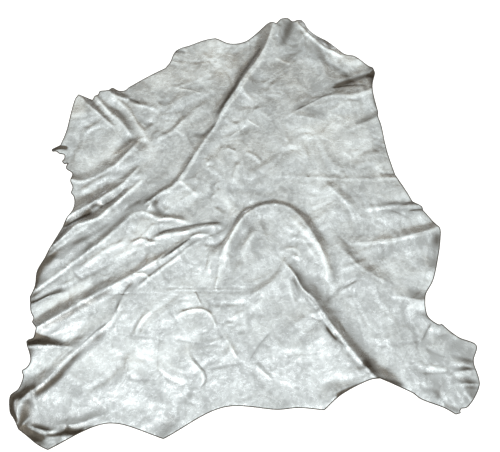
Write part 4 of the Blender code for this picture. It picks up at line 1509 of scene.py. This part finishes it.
    def build(self) -> Object:
        """Make the hide, give it its finishes, and say what it is.

        Returns:
            The hide.
        """
        mesh = self.mesh()
        for finish in (SilverFoil(), Suede(), RawEdge()):
            mesh.materials.append(finish.make())
        hide = bpy.data.objects.new(self.name, mesh)
        bpy.context.scene.collection.objects.link(hide)
        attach(hide, BODY)
        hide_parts(NODE)
        LOG.info("%s: %d triangles", self.name, len(mesh.polygons))
        return hide


@dataclass
class Studio:
    """A pale floor, one soft key light, a soft sky and the camera.

    shades are the sky's colours by degrees away from the window. sideways is how much a
    direction's X counts in that angle, so that the window is wider than it is long. haze is the
    colour near the horizon, full below the second height of haze_rise and gone above the first.
    """

    QUARTER_TURN = 90

    centre: Triple = (0.008, -0.020, 0.0)
    distance: float = 1.318
    tilt: float = math.radians(16.3)
    lens: float = 50.4
    view_range: Point = (0.05, 50)
    floor_size: float = 14.0
    floor_depth: float = 0.0004
    floor_colour: Colour = (0.9, 0.9, 0.9, 1)
    floor_roughness: float = 0.9
    floor_glow: float = 0.62
    backdrop: Colour = (0.93, 0.93, 0.93, 1)
    window: Triple = (-0.03, -0.17, 0.98)
    sideways: float = 0.72
    sky_power: float = 2.22
    shades: tuple[tuple[float, Triple], ...] = (
        (0, (1.30, 1.35, 1.37)), (5, (0.98, 1.03, 1.04)), (9, (0.60, 0.636, 0.64)),
        (13, (0.435, 0.461, 0.463)), (27, (0.42, 0.441, 0.437)), (40, (0.335, 0.345, 0.333)),
        (48, (0.225, 0.219, 0.200)), (60, (0.100, 0.083, 0.064)), (85, (0.040, 0.031, 0.023)),
    )
    haze: Colour = (0.46, 0.475, 0.475, 1)
    haze_rise: Point = (0.42, 0.24)
    key_power: float = 14.0
    key_size: float = 1.2
    key_colour: Triple = (0.97, 1.0, 1.0)
    key_place: Triple = (-0.35, -1.9, 2.3)

    def floor(self) -> Object:
        """A plain pale floor.

        Returns:
            The floor.
        """
        half = self.floor_size / 2
        corners = [(-half, -half), (half, -half), (half, half), (-half, half)]
        mesh = bpy.data.meshes.new("floor")
        mesh.from_pydata([(x, y, -self.floor_depth) for x, y in corners], [], [(0, 1, 2, 3)])
        recipe = Recipe("pale floor")
        recipe.give("Base Color", self.floor_colour)
        recipe.give("Roughness", self.floor_roughness)
        recipe.give("Emission Color", (1, 1, 1, 1))
        recipe.give("Emission Strength", self.floor_glow)
        mesh.materials.append(recipe.material)
        floor = bpy.data.objects.new("floor", mesh)
        bpy.context.scene.collection.objects.link(floor)
        floor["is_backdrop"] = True
        return floor

    def shaded(self, graph: Graph, direction: NodeSocket) -> NodeSocket:
        """The sky's colour in a direction, from the angle between it and the window.

        Args:
            graph: The world's nodes.
            direction: Where a ray leaves for.

        Returns:
            The colour, without the haze.
        """
        squeezed = graph.vector("MULTIPLY", direction, (self.sideways, 1, 1))
        facing = graph.vector(
            "DOT_PRODUCT", graph.vector("NORMALIZE", squeezed), Vector(self.window).normalized(),
            output="Value",
        )
        angle = graph.math("ARCCOSINE", facing)
        ramp = graph.add("ShaderNodeValToRGB")
        reach = math.radians(self.QUARTER_TURN)
        graph.feed(ramp.inputs["Fac"], graph.math("DIVIDE", angle, reach, clamp=True))
        stops = [(degrees / self.QUARTER_TURN, (*colour, 1)) for degrees, colour in self.shades]
        first, last = ramp.color_ramp.elements
        first.position, first.color = stops[0]
        last.position, last.color = stops[-1]
        for position, colour in stops[1:-1]:
            ramp.color_ramp.elements.new(position).color = colour
        return ramp.outputs["Color"]

    def sky(self) -> None:
        """A soft sky, and a plain backdrop where the camera looks straight at it.

        A bright, wide window stands nearly overhead, a little to the rump's side. Away from it
        the sky grows dim and warm, down to a pale haze near the horizon.
        """
        world = bpy.data.worlds.new("studio")
        bpy.context.scene.world = world
        world.use_nodes = True
        graph = Graph(world.node_tree)
        direction = graph.add("ShaderNodeTexCoord").outputs["Generated"]
        axes = graph.feed_all(graph.add("ShaderNodeSeparateXYZ"), (direction,))
        low = graph.remap(axes.outputs["Z"], self.haze_rise)
        light = graph.tree.nodes["Background"]
        colour = graph.blend(low, self.shaded(graph, direction), self.haze)
        graph.feed_all(light, (colour, self.sky_power))
        seen = graph.feed_all(graph.add("ShaderNodeBackground"), (self.backdrop,))
        straight = graph.add("ShaderNodeLightPath").outputs["Is Camera Ray"]
        mix = graph.add("ShaderNodeMixShader")
        graph.feed_all(mix, (straight, light.outputs[0], seen.outputs[0]))
        graph.feed(graph.tree.nodes["World Output"].inputs["Surface"], mix.outputs[0])

    def key(self) -> None:
        """One large soft lamp on the rump's side."""
        light = bpy.data.lights.new("key", "AREA")
        light.energy = self.key_power
        light.size = self.key_size
        light.color = self.key_colour
        lamp = bpy.data.objects.new("key", light)
        lamp.location = self.key_place
        lamp.rotation_euler = (-lamp.location).to_track_quat("-Z", "Y").to_euler()
        bpy.context.scene.collection.objects.link(lamp)

    def camera(self) -> None:
        """The camera, leaning back from straight down."""
        lens = bpy.data.cameras.new("camera")
        lens.lens = self.lens
        lens.clip_start, lens.clip_end = self.view_range
        camera = bpy.data.objects.new("camera", lens)
        away = Vector((0, -math.sin(self.tilt), math.cos(self.tilt)))
        camera.location = Vector(self.centre) + away * self.distance
        camera.rotation_euler = (self.tilt, 0, 0)
        bpy.context.scene.collection.objects.link(camera)
        bpy.context.scene.camera = camera

    def build(self) -> None:
        """Set up the floor, the lights and the camera."""
        self.floor()
        self.sky()
        self.key()
        self.camera()
        bpy.context.scene.view_settings.view_transform = "Standard"
        LOG.info("studio: floor, sky, key and camera")


def main(solid: Box) -> None:
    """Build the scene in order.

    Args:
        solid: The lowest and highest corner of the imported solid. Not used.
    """
    logging.basicConfig(level=logging.INFO, format="%(name)s: %(message)s")
    Studio().build()
    Hide().build()


if __name__ == "__main__":
    main(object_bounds())
